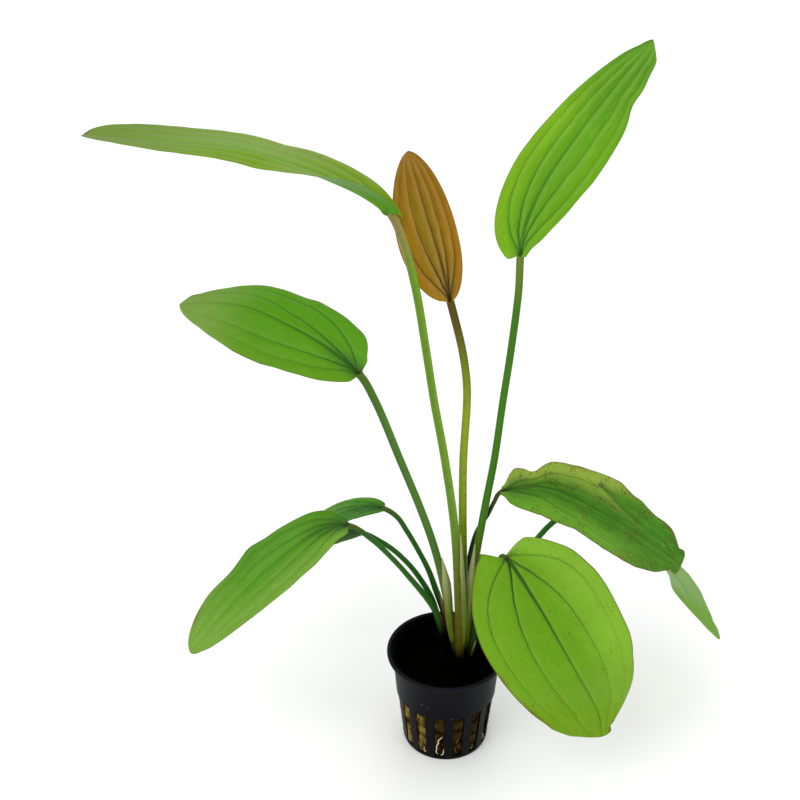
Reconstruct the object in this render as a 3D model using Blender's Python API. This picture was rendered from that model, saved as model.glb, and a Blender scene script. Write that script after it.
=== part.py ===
"""Potted echinodorus: a rosette of ten long-stalked leaves in a small slotted net pot.

Metres, +Z up. The origin is the middle of the pot's underside, and the front of the plant
looks along -Y. Every leaf is one closed body: a round stalk that flattens into its blade.
"""

from math import cos, pi, radians, sin
from typing import NamedTuple

import bmesh
import bpy
import numpy as np

MM = 0.001
CLEARANCE = 0.3                 # gap left between neighbouring pieces, mm

# Net pot, all in mm: a standard 5 cm aquatic pot with 15 tall slots.
POT_HEIGHT = 51.5
POT_BASE_RADIUS = 19.4
POT_RIM_RADIUS = 27.7
POT_FLOOR = 1.5
POT_WAIST_HEIGHT = 11.0         # below this height the wall leans out less
POT_STEP_HEIGHT = 28.6          # the wall steps in just below this height
POT_NECK_HEIGHT = 47.0          # the wall flares out to the rim above this height
POT_LIP_HEIGHT = 1.9            # height of the rim's outer band
POT_LIP_WIDTH = 1.2             # flat width on top of the rim
POT_OUTER_RADII = (20.0, 20.9, 23.3, 24.8)   # at the floor, waist, step and neck
POT_INNER_HEIGHTS = (POT_FLOOR, POT_WAIST_HEIGHT, POT_STEP_HEIGHT, POT_HEIGHT - 2.0)
POT_INNER_RADII = (18.8, 19.6, 21.6, 24.0)   # at these heights
POT_SEGMENTS = 60
PLUG_SEGMENTS = 36
CROWN_SEGMENTS = 24
POT_EDGE = 0.5                  # rounding of the rim's and the foot's edges
SLOT_COUNT = 15
SLOT_TURN = -9.2                # the slot nearest the front, degrees from -Y
SLOT_WIDTH = 5.2
SLOT_FOOT_WIDTH = 4.4
SLOT_BOTTOM = 2.4
SLOT_TOP = 27.8
SLOT_CUT_RADII = (15.0, 26.0)    # a slot's wedge runs from inside the wall to outside it

# Growing plug and crown, mm.
PLUG_TOP = 40.0
PLUG_DOME = 1.6
PLUG_GAP = 0.5                  # between the plug and the pot's wall
PLUG_BEVEL = 1.1
CROWN_CENTRE = (6.3, 5.3)
CROWN_RADII = (9.8, 8.9)
CROWN_TOP = 46.0
CROWN_PROFILE = ((0.86, 0.0), (1.0, 0.24), (0.98, 0.83), (0.88, 1.0))   # shares of its size

# Leaves, mm.
STALK_FOOT_HEIGHT = CROWN_TOP + CLEARANCE + 0.1
STALK_FOOT_RADIUS = 1.85
STALK_NECK_RADIUS = 1.15
BLADE_THICKNESS = 0.8
KEEL_DEPTH = 1.0                # the midrib stands this far out under the blade's base
KEEL_WIDTH = 2.0
TIP_HALF_WIDTH = 0.4            # the blade is never narrower than this
RING_POINTS = 12
STALK_STATIONS = 9
BLADE_STATIONS = 17
LOBE_REACH = 0.36               # share of the blade over which a basal lobe fades out
BLADE_KNOTS = (0.0, 0.42, 1.0)  # where a blade's fold, skew and twist are given
OPENING_LENGTH = 0.02           # share of the blade over which the stalk flattens into it
TIP_LENGTH = 0.05               # share of the blade over which its tip thins out


class Leaf(NamedTuple):
    """One leaf. Points are in mm, angles in degrees, and shares run from blade base to tip."""

    name: str
    stalk: list                 # stalk from its foot on the crown to just below the blade
    rib: list                   # midrib from the blade's base to its tip
    face: tuple                 # the way that the blade's upper face looks
    half_width: float
    fullness: float = 0.42      # smaller is blunter at the base
    taper: float = 0.6          # larger is more pointed at the tip
    skew: tuple = (0, 0, 0)     # share of width moved to the right half: base, middle, tip
    fold: tuple = (14, 6, 4)    # how far each half rises from flat: base, middle, tip
    twist: tuple = (0, 0, 0)    # turn of the blade about its midrib: base, middle, tip
    lobe: tuple = (0.0, 0.0)    # how far the left and right basal lobes reach back
    wave: float = 0.0           # height of the waves along the margins
    waves: float = 2.5
    bumps: tuple = ()           # (side, share, mm, spread): where the margin swells or dips
    foot: float = STALK_FOOT_RADIUS
    neck: float = STALK_NECK_RADIUS
    colour: tuple = (0.13, 0.32, 0.03, 1.0)


GREEN = (0.13, 0.32, 0.03, 1.0)
BRIGHT_GREEN = (0.22, 0.42, 0.03, 1.0)
DEEP_GREEN = (0.05, 0.20, 0.02, 1.0)
COPPER = (0.42, 0.12, 0.015, 1.0)

LEAVES = [
    Leaf("leaf_upper_left",
         stalk=[(6.3, -0.6), (5.1, 1.0, 80), (2.75, 2.5, 118.5), (-2.15, 4, 155.5),
                (-7.2, 6, 185), (-10.8, 7, 209.5), (-15.1, 8.5, 237), (-20.6, 10, 259.4)],
         rib=[(-25.4, 13, 269.3), (-33, 17, 274), (-44, 24, 277), (-85, 42, 284),
              (-122, 54, 282.6), (-156, 64, 281.5)],
         face=(0.0, 0.5, 1.0), half_width=16.5, fullness=0.45, taper=0.35,
         skew=(-0.37, 0.33, 0.2), fold=(47, -9, 11), twist=(5, 23, 18),
         lobe=(5.4, 7.6), foot=2.05, neck=1.75, colour=GREEN),
    Leaf("leaf_young_copper",
         stalk=[(6.4, 7.7), (7.4, 8.5, 79.5), (6.5, 10, 118.5), (6.2, 12, 150),
                (7.2, 13, 180.5), (6.8, 13.5, 190.5), (4.7, 14.5, 205)],
         rib=[(-0.6, 17, 227), (-4.7, 19, 244.5), (-12, 23, 268.5), (-18.4, 27, 290.5)],
         face=(-0.1, -0.95, 0.25), half_width=12.7, fullness=0.52, taper=0.62,
         skew=(-0.25, -0.19, -0.04),
         fold=(12, 8, 4), foot=2.0, neck=1.75, colour=COPPER),
    Leaf("leaf_upper_right",
         stalk=[(9.0, 4.2), (10.6, 5, 77), (12.5, 6, 99), (16.65, 7.5, 131.5), (19.6, 9, 152),
                (22.6, 10.5, 182.5), (25.2, 12, 206.5), (27.4, 13, 234.5)],
         rib=[(27.6, 14, 249.5), (29, 15, 262), (36, 19, 279), (50.5, 25, 300.5),
              (67.3, 30, 322.5), (77.3, 33, 335)],
         face=(-0.2, -0.9, 0.3), half_width=15.1, fullness=0.53, taper=0.72,
         skew=(-0.25, 0.08, 0.15), fold=(10, 6, 3), lobe=(4.0, 1.5), wave=0.5, waves=3.2, neck=1.6,
         bumps=((1, 0.05, -1.3, 0.04), (1, 0.25, 0.6, 0.08), (1, 0.76, -1.9, 0.06),
                (1, 0.95, 1.7, 0.05), (-1, 0.42, 0.5, 0.1), (-1, 0.96, -0.5, 0.04)),
         colour=BRIGHT_GREEN),
    Leaf("leaf_middle_left",
         stalk=[(4.8, 3.4), (0, 4, 77.5), (-5.9, 4, 106.5), (-12.4, 3, 129.5),
                (-21.6, 2, 157), (-32.4, 1, 188.5)],
         rib=[(-38.4, 2, 200), (-53.5, 10, 209.5), (-72, 20, 215.5), (-85.5, 28, 217.5),
              (-101.5, 36, 215.5), (-117.3, 40, 212.5)],
         face=(0.0, -0.5, 0.86), half_width=18.7, fullness=0.45, taper=0.64,
         skew=(0.11, -0.12, -0.29), fold=(6, -8, -6), lobe=(0.6, 0.0), neck=1.7,
         bumps=((1, 0.035, -1.0, 0.02), (1, 0.1, 0.8, 0.04), (1, 0.37, 0.6, 0.04),
                (1, 0.82, -0.5, 0.08), (1, 0.96, 1.2, 0.04), (-1, 0.13, 0.6, 0.07),
                (-1, 0.36, -0.6, 0.08), (-1, 0.6, 0.5, 0.08)),
         colour=GREEN),
    Leaf("leaf_lower_left",
         stalk=[(0.6, 2.6), (-5.1, 3, 71), (-8.8, 3, 78.5), (-16.4, 2.5, 90.5),
                (-24.6, 2, 102.5), (-33.9, 2, 113.5)],
         rib=[(-44, 2, 121.5), (-56, -3, 123), (-75.5, -12, 113), (-94, -20, 97),
              (-114.6, -28, 73.5)],
         face=(-0.1, -0.6, 0.8), half_width=12.7, fullness=0.44, taper=0.53,
         skew=(-0.02, -0.13, 0.19), fold=(12, 10, 5), foot=1.65, neck=1.2,
         bumps=((1, 0.22, -0.4, 0.06), (1, 0.45, 1.4, 0.06), (1, 0.61, -1.2, 0.09),
                (-1, 0.09, -0.9, 0.03), (-1, 0.25, 0.6, 0.06), (-1, 0.97, -0.5, 0.04)),
         colour=GREEN),
    Leaf("leaf_lower_left_back",
         stalk=[(2.6, 10.2), (-0.6, 10, 63.5), (-5, 11, 77.5), (-8.5, 12, 88.5),
                (-13.4, 13, 99.5), (-18.7, 14.5, 109.5), (-23, 16, 116)],
         rib=[(-28.7, 18, 119), (-41, 26, 112.7), (-57, 36, 98.6), (-74.5, 45, 75.5),
              (-89.5, 52, 53.5)],
         face=(-0.2, -0.2, 0.95), half_width=7.9, taper=0.7, skew=(-0.09, 0.0, 0.05),
         lobe=(1.0, 1.0), neck=1.2, colour=DEEP_GREEN),
    Leaf("leaf_left_back",
         stalk=[(-0.6, 7.2), (-5.9, 8, 71.5), (-9, 8, 80), (-15.5, 8, 92), (-19.4, 8.5, 97),
                (-24.1, 9, 102), (-30, 9, 107)],
         rib=[(-38.8, 10, 111.4), (-50, 14, 107.6), (-64, 18, 97), (-79, 22, 78.5)],
         face=(-0.4, -0.1, 0.9), half_width=7.0, taper=0.8,
         skew=(-0.2, -0.1, 0.0), foot=1.6, neck=1.2, colour=DEEP_GREEN),
    Leaf("leaf_right",
         stalk=[(8.8, 11.6), (8.5, 12, 80), (10.7, 12, 100), (13.0, 12, 110.5),
                (17.5, 10.5, 121), (20.1, 8, 130)],
         rib=[(22.9, 5.5, 137.5), (33, 3, 141.5), (40.5, 3, 142), (52.5, 2, 138),
              (64.5, 0, 132), (83.5, -3, 120.5), (103.3, -7, 106.2)],
         face=(0.1, -0.5, 0.85), half_width=17.2, fullness=0.49, taper=0.35,
         skew=(0.21, -0.02, -0.13), fold=(12, 8, 4), lobe=(1.0, 1.0), wave=0.8, waves=2.2, foot=1.65,
         neck=1.0,
         bumps=((1, 0.035, -2.9, 0.03), (1, 0.16, 1.4, 0.04), (1, 0.42, -0.8, 0.08),
                (1, 0.77, 0.7, 0.06), (1, 0.92, -1.5, 0.03), (1, 0.96, -3.0, 0.03),
                (-1, 0.03, -2.0, 0.018), (-1, 0.08, 1.9, 0.03), (-1, 0.175, -3.9, 0.035),
                (-1, 0.44, -0.8, 0.12), (-1, 0.62, -1.6, 0.06), (-1, 0.8, -4.7, 0.17),
                (-1, 0.84, 1.4, 0.05), (-1, 0.965, -3.6, 0.05)),
         colour=GREEN),
    Leaf("leaf_front",
         stalk=[(11.4, 0.4), (12.7, 2, 58.5), (15, 3, 78.5), (21.9, -2.6, 103.2)],
         rib=[(24.5, -9.2, 112.8), (38.9, -17, 93.1), (48.6, -25, 78.5), (57.7, -33, 64.5),
              (66.8, -38, 48), (69.6, -40, 34.6)],
         face=(0.0, -0.9, 0.45), half_width=31.0, fullness=0.42, taper=0.6,
         skew=(-0.06, 0.01, 0.03), fold=(8, 4, 4), lobe=(2.5, 10.8), neck=1.05,
         bumps=((1, 0.02, -2.7, 0.02), (1, 0.05, -1.8, 0.03), (1, 0.1, -1.1, 0.05),
                (1, 0.18, 0.5, 0.07), (1, 0.3, 1.1, 0.1), (1, 0.92, 4.6, 0.1),
                (-1, 0.09, -0.7, 0.04), (-1, 0.11, 1.1, 0.06), (-1, 0.6, 0.8, 0.07),
                (-1, 0.9, -6.4, 0.09), (-1, 0.965, -1.2, 0.025)),
         colour=BRIGHT_GREEN),
    Leaf("leaf_right_back",
         stalk=[(12.6, 6.6), (24.4, 8, 80), (41.1, 12, 107.5), (49.0, 15, 115), (60, 19, 119)],
         rib=[(75.5, 24, 111), (94, 30, 88.5), (113.2, 36, 62.3), (121.4, 41, 42.6),
              (137.2, 45, 18.9)],
         face=(0.75, 0.55, 0.4), half_width=14.1, neck=1.3,
         bumps=((1, 0.3, -0.6, 0.07), (1, 0.4, 1.9, 0.07), (1, 0.5, 0.0, 0.07),
                (1, 0.6, -0.8, 0.07), (1, 0.72, 2.0, 0.08), (1, 0.85, 1.7, 0.07),
                (-1, 0.5, -0.4, 0.07), (-1, 0.6, -1.2, 0.07), (-1, 0.72, 2.2, 0.07),
                (-1, 0.85, -0.9, 0.07)), colour=DEEP_GREEN),
]


def unit(vectors):
    """The same vectors at length 1."""
    return vectors / np.linalg.norm(vectors, axis=-1, keepdims=True)


def smooth_path(points, count):
    """A smooth curve through the points, read at equal steps of length."""
    points = np.asarray(points, float)
    legs = np.sqrt(np.linalg.norm(np.diff(points, axis=0), axis=1))
    knots = np.concatenate([[0.0], np.cumsum(legs)])
    slopes = np.diff(points, axis=0) / legs[:, None]
    tangents = np.vstack([slopes[:1], slopes[-1:]])
    inner = (slopes[:-1] * legs[1:, None] + slopes[1:] * legs[:-1, None])
    inner /= (legs[:-1] + legs[1:])[:, None]
    tangents = np.insert(tangents, 1, inner, axis=0)
    dense = []
    for value in np.linspace(0.0, knots[-1], count * 12):
        i = min(int(np.searchsorted(knots, value, side="right")) - 1, len(legs) - 1)
        x = (value - knots[i]) / legs[i]
        dense.append((2 * x**3 - 3 * x**2 + 1) * points[i]
                     + (x**3 - 2 * x**2 + x) * legs[i] * tangents[i]
                     + (3 * x**2 - 2 * x**3) * points[i + 1]
                     + (x**3 - x**2) * legs[i] * tangents[i + 1])
    return np.array(dense)


def read_path(dense, shares):
    """Points and directions of a curve at the given shares of its length."""
    steps = np.linalg.norm(np.diff(dense, axis=0), axis=1)
    length = np.concatenate([[0.0], np.cumsum(steps)])
    directions = unit(np.gradient(dense, axis=0))
    wanted = np.asarray(shares) * length[-1]
    places = np.column_stack([np.interp(wanted, length, dense[:, k]) for k in range(3)])
    ways = np.column_stack([np.interp(wanted, length, directions[:, k]) for k in range(3)])
    return places, unit(ways), length[-1]


def half_width_at(leaf, share, side):
    """Half the blade's width on its right (1) or left (-1) at a share of its length, mm."""
    widest = leaf.fullness / (leaf.fullness + leaf.taper)
    rise = (share / widest) ** leaf.fullness
    fall = ((1.0 - share) / (1.0 - widest)) ** leaf.taper
    skew = np.interp(share, BLADE_KNOTS, leaf.skew)
    width = leaf.half_width * rise * fall * (1.0 + side * skew)
    for bump_side, middle, size, spread in leaf.bumps:
        if bump_side == side:
            fade = min(1.0, (1.0 - share) / TIP_LENGTH)
            width += size * fade * np.exp(-((share - middle) / spread) ** 2)
    return max(width, TIP_HALF_WIDTH)


def leaf_rings(leaf):
    """Rings of points along one leaf, from the stalk's foot to the blade's tip, mm."""
    foot = leaf.stalk[0] + (STALK_FOOT_HEIGHT,)
    whole = smooth_path([foot] + leaf.stalk[1:] + leaf.rib, 60)
    blade_start = int(np.argmin(np.linalg.norm(whole - np.array(leaf.rib[0]), axis=1)))
    chord = unit(np.subtract(leaf.rib[-1], leaf.rib[0]).astype(float))
    side = unit(np.cross(chord, np.array(leaf.face)))
    turn = 2.0 * pi * np.arange(RING_POINTS) / RING_POINTS
    across, up = np.cos(turn), np.sin(turn)

    rings = []
    shares = np.linspace(0.0, 1.0, STALK_STATIONS, endpoint=False)
    places, ways, _ = read_path(whole[:blade_start + 1], shares)
    ways[0] = (0.0, 0.0, 1.0)
    for share, place, way in zip(shares, places, ways):
        right = unit(side - way * side.dot(way))
        normal = np.cross(right, way)
        radius = leaf.foot + (leaf.neck - leaf.foot) * min(1.0, 1.6 * share)
        rings.append(place + radius * (np.outer(across, right) + np.outer(up, normal)))

    shares = 0.5 - 0.5 * np.cos(pi * np.linspace(0.0, 1.0, BLADE_STATIONS))
    places, ways, _ = read_path(whole[blade_start:], shares)
    for share, place, way in zip(shares, places, ways):
        right = unit(side - way * side.dot(way))
        normal = np.cross(right, way)
        angle = radians(np.interp(share, BLADE_KNOTS, leaf.twist))
        right, normal = (right * cos(angle) + normal * sin(angle),
                         normal * cos(angle) - right * sin(angle))
        rings.append(blade_ring(leaf, share, place, way, right, normal, across, up))
    return rings


def blade_ring(leaf, share, place, way, right, normal, across, up):
    """One ring across the blade: a thin lens, folded along the midrib, mm."""
    opening = min(1.0, share / OPENING_LENGTH)
    tip = min(1.0, (1.0 - share) / TIP_LENGTH)
    rights, lefts = (half_width_at(leaf, min(share, 0.999), side) for side in (1, -1))
    width = np.where(across > 0, rights, lefts)
    width = leaf.neck + (width - leaf.neck) * opening if share < 0.5 else width
    fold = radians(np.interp(share, BLADE_KNOTS, leaf.fold))
    half = width * across
    ripple = np.sin(2.0 * pi * leaf.waves * share + 1.3 * (across > 0))
    lift = np.abs(half) * sin(fold) + leaf.wave * ripple * np.abs(across) ** 3 * opening * tip
    thick = leaf.neck + (0.5 * BLADE_THICKNESS - leaf.neck) * opening
    thick *= 0.4 + 0.6 * tip
    keel = KEEL_DEPTH * (1.0 - share) * opening * np.exp(-(half / KEEL_WIDTH) ** 2) * (up < 0)
    reach = np.where(across > 0, leaf.lobe[1], leaf.lobe[0])
    back = reach * np.abs(across) ** 1.5 * max(0.0, 1.0 - share / LOBE_REACH) ** 1.5
    return (place + np.outer(half * cos(fold), right)
            + np.outer(lift + thick * up - keel, normal) - np.outer(back * opening, way))


def loft(rings):
    """A closed mesh through rings of equal size, with both ends capped."""
    mesh = bmesh.new()
    loops = [[mesh.verts.new(point * MM) for point in ring] for ring in rings]
    for lower, upper in zip(loops, loops[1:]):
        for k in range(len(lower)):
            n = (k + 1) % len(lower)
            mesh.faces.new((lower[k], lower[n], upper[n], upper[k]))
    mesh.faces.new(reversed(loops[0]))
    mesh.faces.new(loops[-1])
    return mesh


def turned(profile, segments):
    """A closed solid turned about Z from (radius, height) points, first and last on the axis."""
    mesh = bmesh.new()
    verts = [mesh.verts.new((radius * MM, 0.0, height * MM)) for radius, height in profile]
    edges = [mesh.edges.new(pair) for pair in zip(verts, verts[1:])]
    bmesh.ops.spin(mesh, geom=verts + edges, cent=(0, 0, 0), axis=(0, 0, 1), angle=2 * pi,
                   steps=segments, use_merge=True)
    bmesh.ops.remove_doubles(mesh, verts=mesh.verts, dist=0.02 * MM)
    return mesh


def finish(name, mesh, colour, roughness, sharp=35.0):
    """Put a bmesh in the scene as a named object with its own material."""
    bmesh.ops.recalc_face_normals(mesh, faces=mesh.faces)
    data = bpy.data.meshes.new(name)
    mesh.to_mesh(data)
    mesh.free()
    data.shade_smooth()
    data.set_sharp_from_angle(angle=radians(sharp))
    material = bpy.data.materials.new(name)
    material.use_nodes = True
    shader = material.node_tree.nodes["Principled BSDF"]
    shader.inputs["Base Color"].default_value = colour
    shader.inputs["Roughness"].default_value = roughness
    shader.inputs["Metallic"].default_value = 0.0
    data.materials.append(material)
    thing = bpy.data.objects.new(name, data)
    bpy.context.scene.collection.objects.link(thing)
    return thing


def pot_outside():
    """The pot's outer profile from the middle of its underside to the rim's top, mm."""
    floor, waist, step, neck = POT_OUTER_RADII
    lip = POT_HEIGHT - POT_LIP_HEIGHT
    return [(0.0, 0.0), (POT_BASE_RADIUS, 0.0), (floor - 0.3, POT_EDGE), (floor, POT_FLOOR),
            (waist, POT_WAIST_HEIGHT), (step - 0.6, POT_STEP_HEIGHT - 0.6),
            (step, POT_STEP_HEIGHT), (neck, POT_NECK_HEIGHT), (neck + 0.6, lip - 0.6),
            (POT_RIM_RADIUS - POT_EDGE, lip), (POT_RIM_RADIUS, lip + 0.6),
            (POT_RIM_RADIUS, POT_HEIGHT - 0.4), (POT_RIM_RADIUS - POT_EDGE, POT_HEIGHT)]


def inner_radius(height):
    """Radius of the pot's inner wall at a height, mm."""
    return float(np.interp(height, POT_INNER_HEIGHTS, POT_INNER_RADII))


def pot_profile():
    """The closed turned profile of the pot, mm."""
    inside = [(inner_radius(height), height) for height in reversed(POT_INNER_HEIGHTS)]
    lip = POT_RIM_RADIUS - POT_EDGE - POT_LIP_WIDTH
    edge = [(lip + POT_EDGE, POT_HEIGHT), (lip, POT_HEIGHT - POT_EDGE)]
    return pot_outside() + edge + inside + [(0.0, POT_FLOOR)]


def slot_cutter():
    """Fifteen wedges, narrower at the foot, that cut the slots."""
    mesh = bmesh.new()
    for i in range(SLOT_COUNT):
        angle = radians(SLOT_TURN - 90.0 + 360.0 * i / SLOT_COUNT)
        out, along = np.array((cos(angle), sin(angle))), np.array((-sin(angle), cos(angle)))
        corners = []
        for height, width in ((SLOT_BOTTOM, SLOT_FOOT_WIDTH), (SLOT_TOP, SLOT_WIDTH)):
            for end, side in ((0, -0.5), (1, -0.5), (1, 0.5), (0, 0.5)):
                x, y = out * SLOT_CUT_RADII[end] + along * side * width
                corners.append(mesh.verts.new((x * MM, y * MM, height * MM)))
        for face in ((3, 2, 1, 0), (4, 5, 6, 7), (0, 1, 5, 4), (1, 2, 6, 5), (2, 3, 7, 6),
                     (3, 0, 4, 7)):
            mesh.faces.new([corners[k] for k in face])
    cutter = finish("slot_cutter", mesh, (0.5, 0.5, 0.5, 1.0), 0.5)
    cutter.hide_render = True
    cutter.display_type = "WIRE"
    return cutter


def make_pot():
    """The black net pot, with its slots cut through the wall."""
    pot = finish("pot", turned(pot_profile(), POT_SEGMENTS), (0.012, 0.013, 0.016, 1.0), 0.42)
    cut = pot.modifiers.new("Slots", "BOOLEAN")
    cut.operation = "DIFFERENCE"
    cut.solver = "EXACT"
    cut.object = slot_cutter()
    return pot


def make_plug():
    """The growing plug: rock wool that fills the pot to below its rim."""
    bottom = POT_FLOOR + CLEARANCE + 0.1
    profile = [(0.0, bottom)]
    for height in (bottom, POT_WAIST_HEIGHT, POT_STEP_HEIGHT, PLUG_TOP - PLUG_BEVEL):
        profile.append((inner_radius(height) - PLUG_GAP, height))
    edge = profile[-1][0]
    profile += [(edge - PLUG_BEVEL, PLUG_TOP), (edge * 0.5, PLUG_TOP + 0.7 * PLUG_DOME),
                (0.0, PLUG_TOP + PLUG_DOME)]
    return finish("growing_plug", turned(profile, PLUG_SEGMENTS), (0.09, 0.065, 0.02, 1.0), 0.95)


def make_crown():
    """The short rootstock on the plug, from which every leaf rises."""
    bottom = PLUG_TOP + PLUG_DOME + CLEARANCE
    height = CROWN_TOP - bottom
    profile = [(CROWN_RADII[0] * radius, bottom + share * height)
               for radius, share in CROWN_PROFILE]
    mesh = turned([(0.0, bottom)] + profile + [(0.0, CROWN_TOP)], CROWN_SEGMENTS)
    for vert in mesh.verts:
        vert.co.x += CROWN_CENTRE[0] * MM
        vert.co.y = vert.co.y * CROWN_RADII[1] / CROWN_RADII[0] + CROWN_CENTRE[1] * MM
    return finish("crown", mesh, (0.07, 0.045, 0.02, 1.0), 0.8)


def make_leaf(leaf):
    """One leaf, stalk and blade in one body."""
    return finish(leaf.name, loft(leaf_rings(leaf)), leaf.colour, 0.42, sharp=60.0)


def main():
    for thing in list(bpy.data.objects):
        bpy.data.objects.remove(thing, do_unlink=True)
    make_pot()
    make_plug()
    make_crown()
    for leaf in LEAVES:
        make_leaf(leaf)


main()
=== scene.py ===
"""Looks of a potted echinodorus: ten long-stalked leaves in a small slotted net pot.

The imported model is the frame. Each piece made here stands for one of its nodes at a finer
resolution. Lengths are in millimetres unless a name says otherwise; meshes are in metres.
"""

from math import cos, pi, radians, sin
from typing import NamedTuple

import bmesh
import bpy
import numpy as np
from bpy.props import FloatProperty, FloatVectorProperty, IntProperty, PointerProperty
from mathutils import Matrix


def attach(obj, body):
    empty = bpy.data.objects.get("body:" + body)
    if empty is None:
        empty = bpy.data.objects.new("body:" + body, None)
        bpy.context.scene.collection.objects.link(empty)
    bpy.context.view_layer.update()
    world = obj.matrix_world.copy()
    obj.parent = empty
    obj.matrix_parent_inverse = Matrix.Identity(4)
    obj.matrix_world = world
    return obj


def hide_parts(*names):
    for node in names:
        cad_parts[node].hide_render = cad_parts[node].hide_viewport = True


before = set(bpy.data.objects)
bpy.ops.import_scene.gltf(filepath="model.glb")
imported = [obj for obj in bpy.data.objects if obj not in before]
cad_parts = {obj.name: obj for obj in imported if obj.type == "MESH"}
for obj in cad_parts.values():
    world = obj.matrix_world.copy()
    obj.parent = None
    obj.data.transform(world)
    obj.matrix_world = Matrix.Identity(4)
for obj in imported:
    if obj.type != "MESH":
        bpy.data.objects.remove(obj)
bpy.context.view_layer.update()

bl_info = {
    "name": "Potted Echinodorus",
    "version": (1, 0, 0),
    "blender": (4, 5, 0),
    "location": "View3D > Sidebar > Plant",
    "description": "Makes a rosette of long-stalked leaves in a slotted net pot",
    "category": "Object",
}

MM = 0.001
BODY = "root"

# Net pot.
POT_HEIGHT = 51.5
POT_BASE_RADIUS = 19.4
POT_RIM_RADIUS = 27.7
POT_FLOOR = 1.5
POT_WAIST_HEIGHT = 11.0
POT_STEP_HEIGHT = 28.6
POT_NECK_HEIGHT = 47.0
POT_LIP_HEIGHT = 1.9
POT_LIP_WIDTH = 1.2
POT_OUTER_RADII = (20.0, 20.9, 23.3, 24.8)   # at the floor, waist, step and neck
POT_INNER_HEIGHTS = (POT_FLOOR, POT_WAIST_HEIGHT, POT_STEP_HEIGHT, POT_HEIGHT - 2.0)
POT_INNER_RADII = (18.8, 19.6, 21.6, 24.0)   # at these heights
POT_SEGMENTS = 180
POT_EDGE = 0.5                   # how far the rim's and the foot's edges are cut back
SLOT_TURN = -9.2                 # the slot nearest the front, degrees from -Y
SLOT_FOOT_SHARE = 0.84           # a slot's foot is this much narrower than its top
SLOT_BOTTOM = 2.4
SLOT_TOP = 27.8
SLOT_CUT_RADII = (15.0, 26.0)
WALL_RADII = (19.4, 24.3)        # halfway through the wall, at the floor and the neck
LIP_LEAN = 1.8                   # how far that line leans out towards the rim

# Pale marks on the wall, scuffs and, as the second entry, a painted highlight dot: degrees from
# -Y, height, then how wide and how high.
POT_SCUFFS_AND_HIGHLIGHT = ((-29.3, 36.2, 0.6, 0.5), (5.2, 29.1, 0.4, 0.4), (-22.0, 35.4, 0.5, 0.3))

# Growing plug and crown.
PLUG_TOP = 40.0
PLUG_DOME = 1.6
PLUG_GAP = 0.5
PLUG_SEGMENTS = 480
PLUG_BULGE = 1.3                 # how far the wool may reach out at a slot
PLUG_ROUGHNESS = 0.3             # and beside it
TOP_WOOL_SHARE = 0.45            # fibres on top of the plug, as a share of those at a slot
CROWN_CENTRE = (6.3, 5.3)
CROWN_RADII = (9.8, 8.9)
CROWN_TOP = 46.0
CROWN_SEGMENTS = 96
TURNED_RADIUS = 10.0             # the crown is turned at this radius, then stretched

# Leaves.
STALK_FOOT_HEIGHT = 46.4
STALK_FOOT_RADIUS = 1.85
STALK_NECK_RADIUS = 1.15
KEEL_DEPTH = 1.0
KEEL_WIDTH = 1.6
MIDRIB_GROOVE_WIDTH = 0.7
LATERAL_GROOVE_WIDTH = 0.55
FOLD_ROUNDING = 0.8              # radius of the fold along the midrib
LEAST_HALF_WIDTH = 0.15
LOBE_REACH = 0.36                # share of the blade over which its base lobes fade
OPENING_LENGTH = 0.02            # share of the blade over which the stalk flattens into it
TIP_LENGTH = 0.05                # share over which it thins towards the tip
BLADE_KNOTS = (0.0, 0.42, 1.0)   # where a blade's fold and skew are given
ACROSS = 48                      # steps across a blade's face
STALK_STATIONS = 70
BLADE_STATIONS = 130
LEAF_SHINE = 0.15                # reflection of a leaf's skin, where 0.5 is plain plastic
BURN_WIDTH = 2.0                 # how far a brown patch reaches in from the margin
LADDER_STEP = 2.3                # from one small cross vein to the next
BLADE_EDGE = 0.012               # share of the blade over which its veins begin
SHEATH_THICKNESS = 0.22

# Stage, in metres and degrees.
FLOOR_REACH = 4.0
LAMP_SIZE = 1.2
LAMP_TARGET = (0.0, 0.0, 0.15)
CAMERA_PLACE = (-0.02165, -0.59218, 0.56622)
CAMERA_PITCH = 32.5


def srgb(red, green, blue):
    """A linear colour from the 0 to 255 values that a colour picker shows."""
    value = np.array((red, green, blue)) / 255.0
    linear = np.where(value <= 0.04045, value / 12.92, ((value + 0.055) / 1.055) ** 2.4)
    return (*(float(x) for x in linear), 1.0)


class Look(NamedTuple):
    """The finish of one leaf. Colours are 0 to 255 values."""

    rib: tuple                   # beside the midrib
    right: tuple                 # towards the right margin
    left: tuple                  # towards the left margin
    tip: tuple
    vein: tuple
    under: tuple                 # the underside
    foot: tuple                  # the stalk, from the crown to the blade
    middle: tuple
    neck: tuple
    base_shade: float = 0.5      # how dark the blade is where the veins meet
    veins: float = 0.7           # how clear the veins are
    ladder: float = 0.05         # how clear the small cross veins are
    freckles: float = 0.0
    edge: float = 0.35           # how brown the margin is
    dashes: float = 0.35         # brown ticks across the stalk
    # colour of the painted reflection streaks and of the painted highlight beside the veins
    pale: tuple = (150, 190, 70)
    sheen: float = 0.15          # how clear the painted reflection is: paler streaks along the blade
    tip_brown: float = 0.3
    gloss: float = 0.38          # roughness of the blade
    lit: float = 0.08            # strength of the painted highlight on each vein's right side; below 0, on its left side
    sunk: float = 46.0           # height in mm at which painted shade in the pot makes the stalk near-black; it fades out 12 mm higher
    neck_from: float = 0.86      # where the neck's colour starts, as a share of the stalk


GREEN = Look(rib=(70, 132, 10), right=(88, 146, 18), left=(88, 146, 18), tip=(104, 154, 34),
             vein=(18, 60, 8), under=(108, 152, 50), foot=(92, 102, 20), middle=(56, 116, 14),
             neck=(80, 108, 26))

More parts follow.
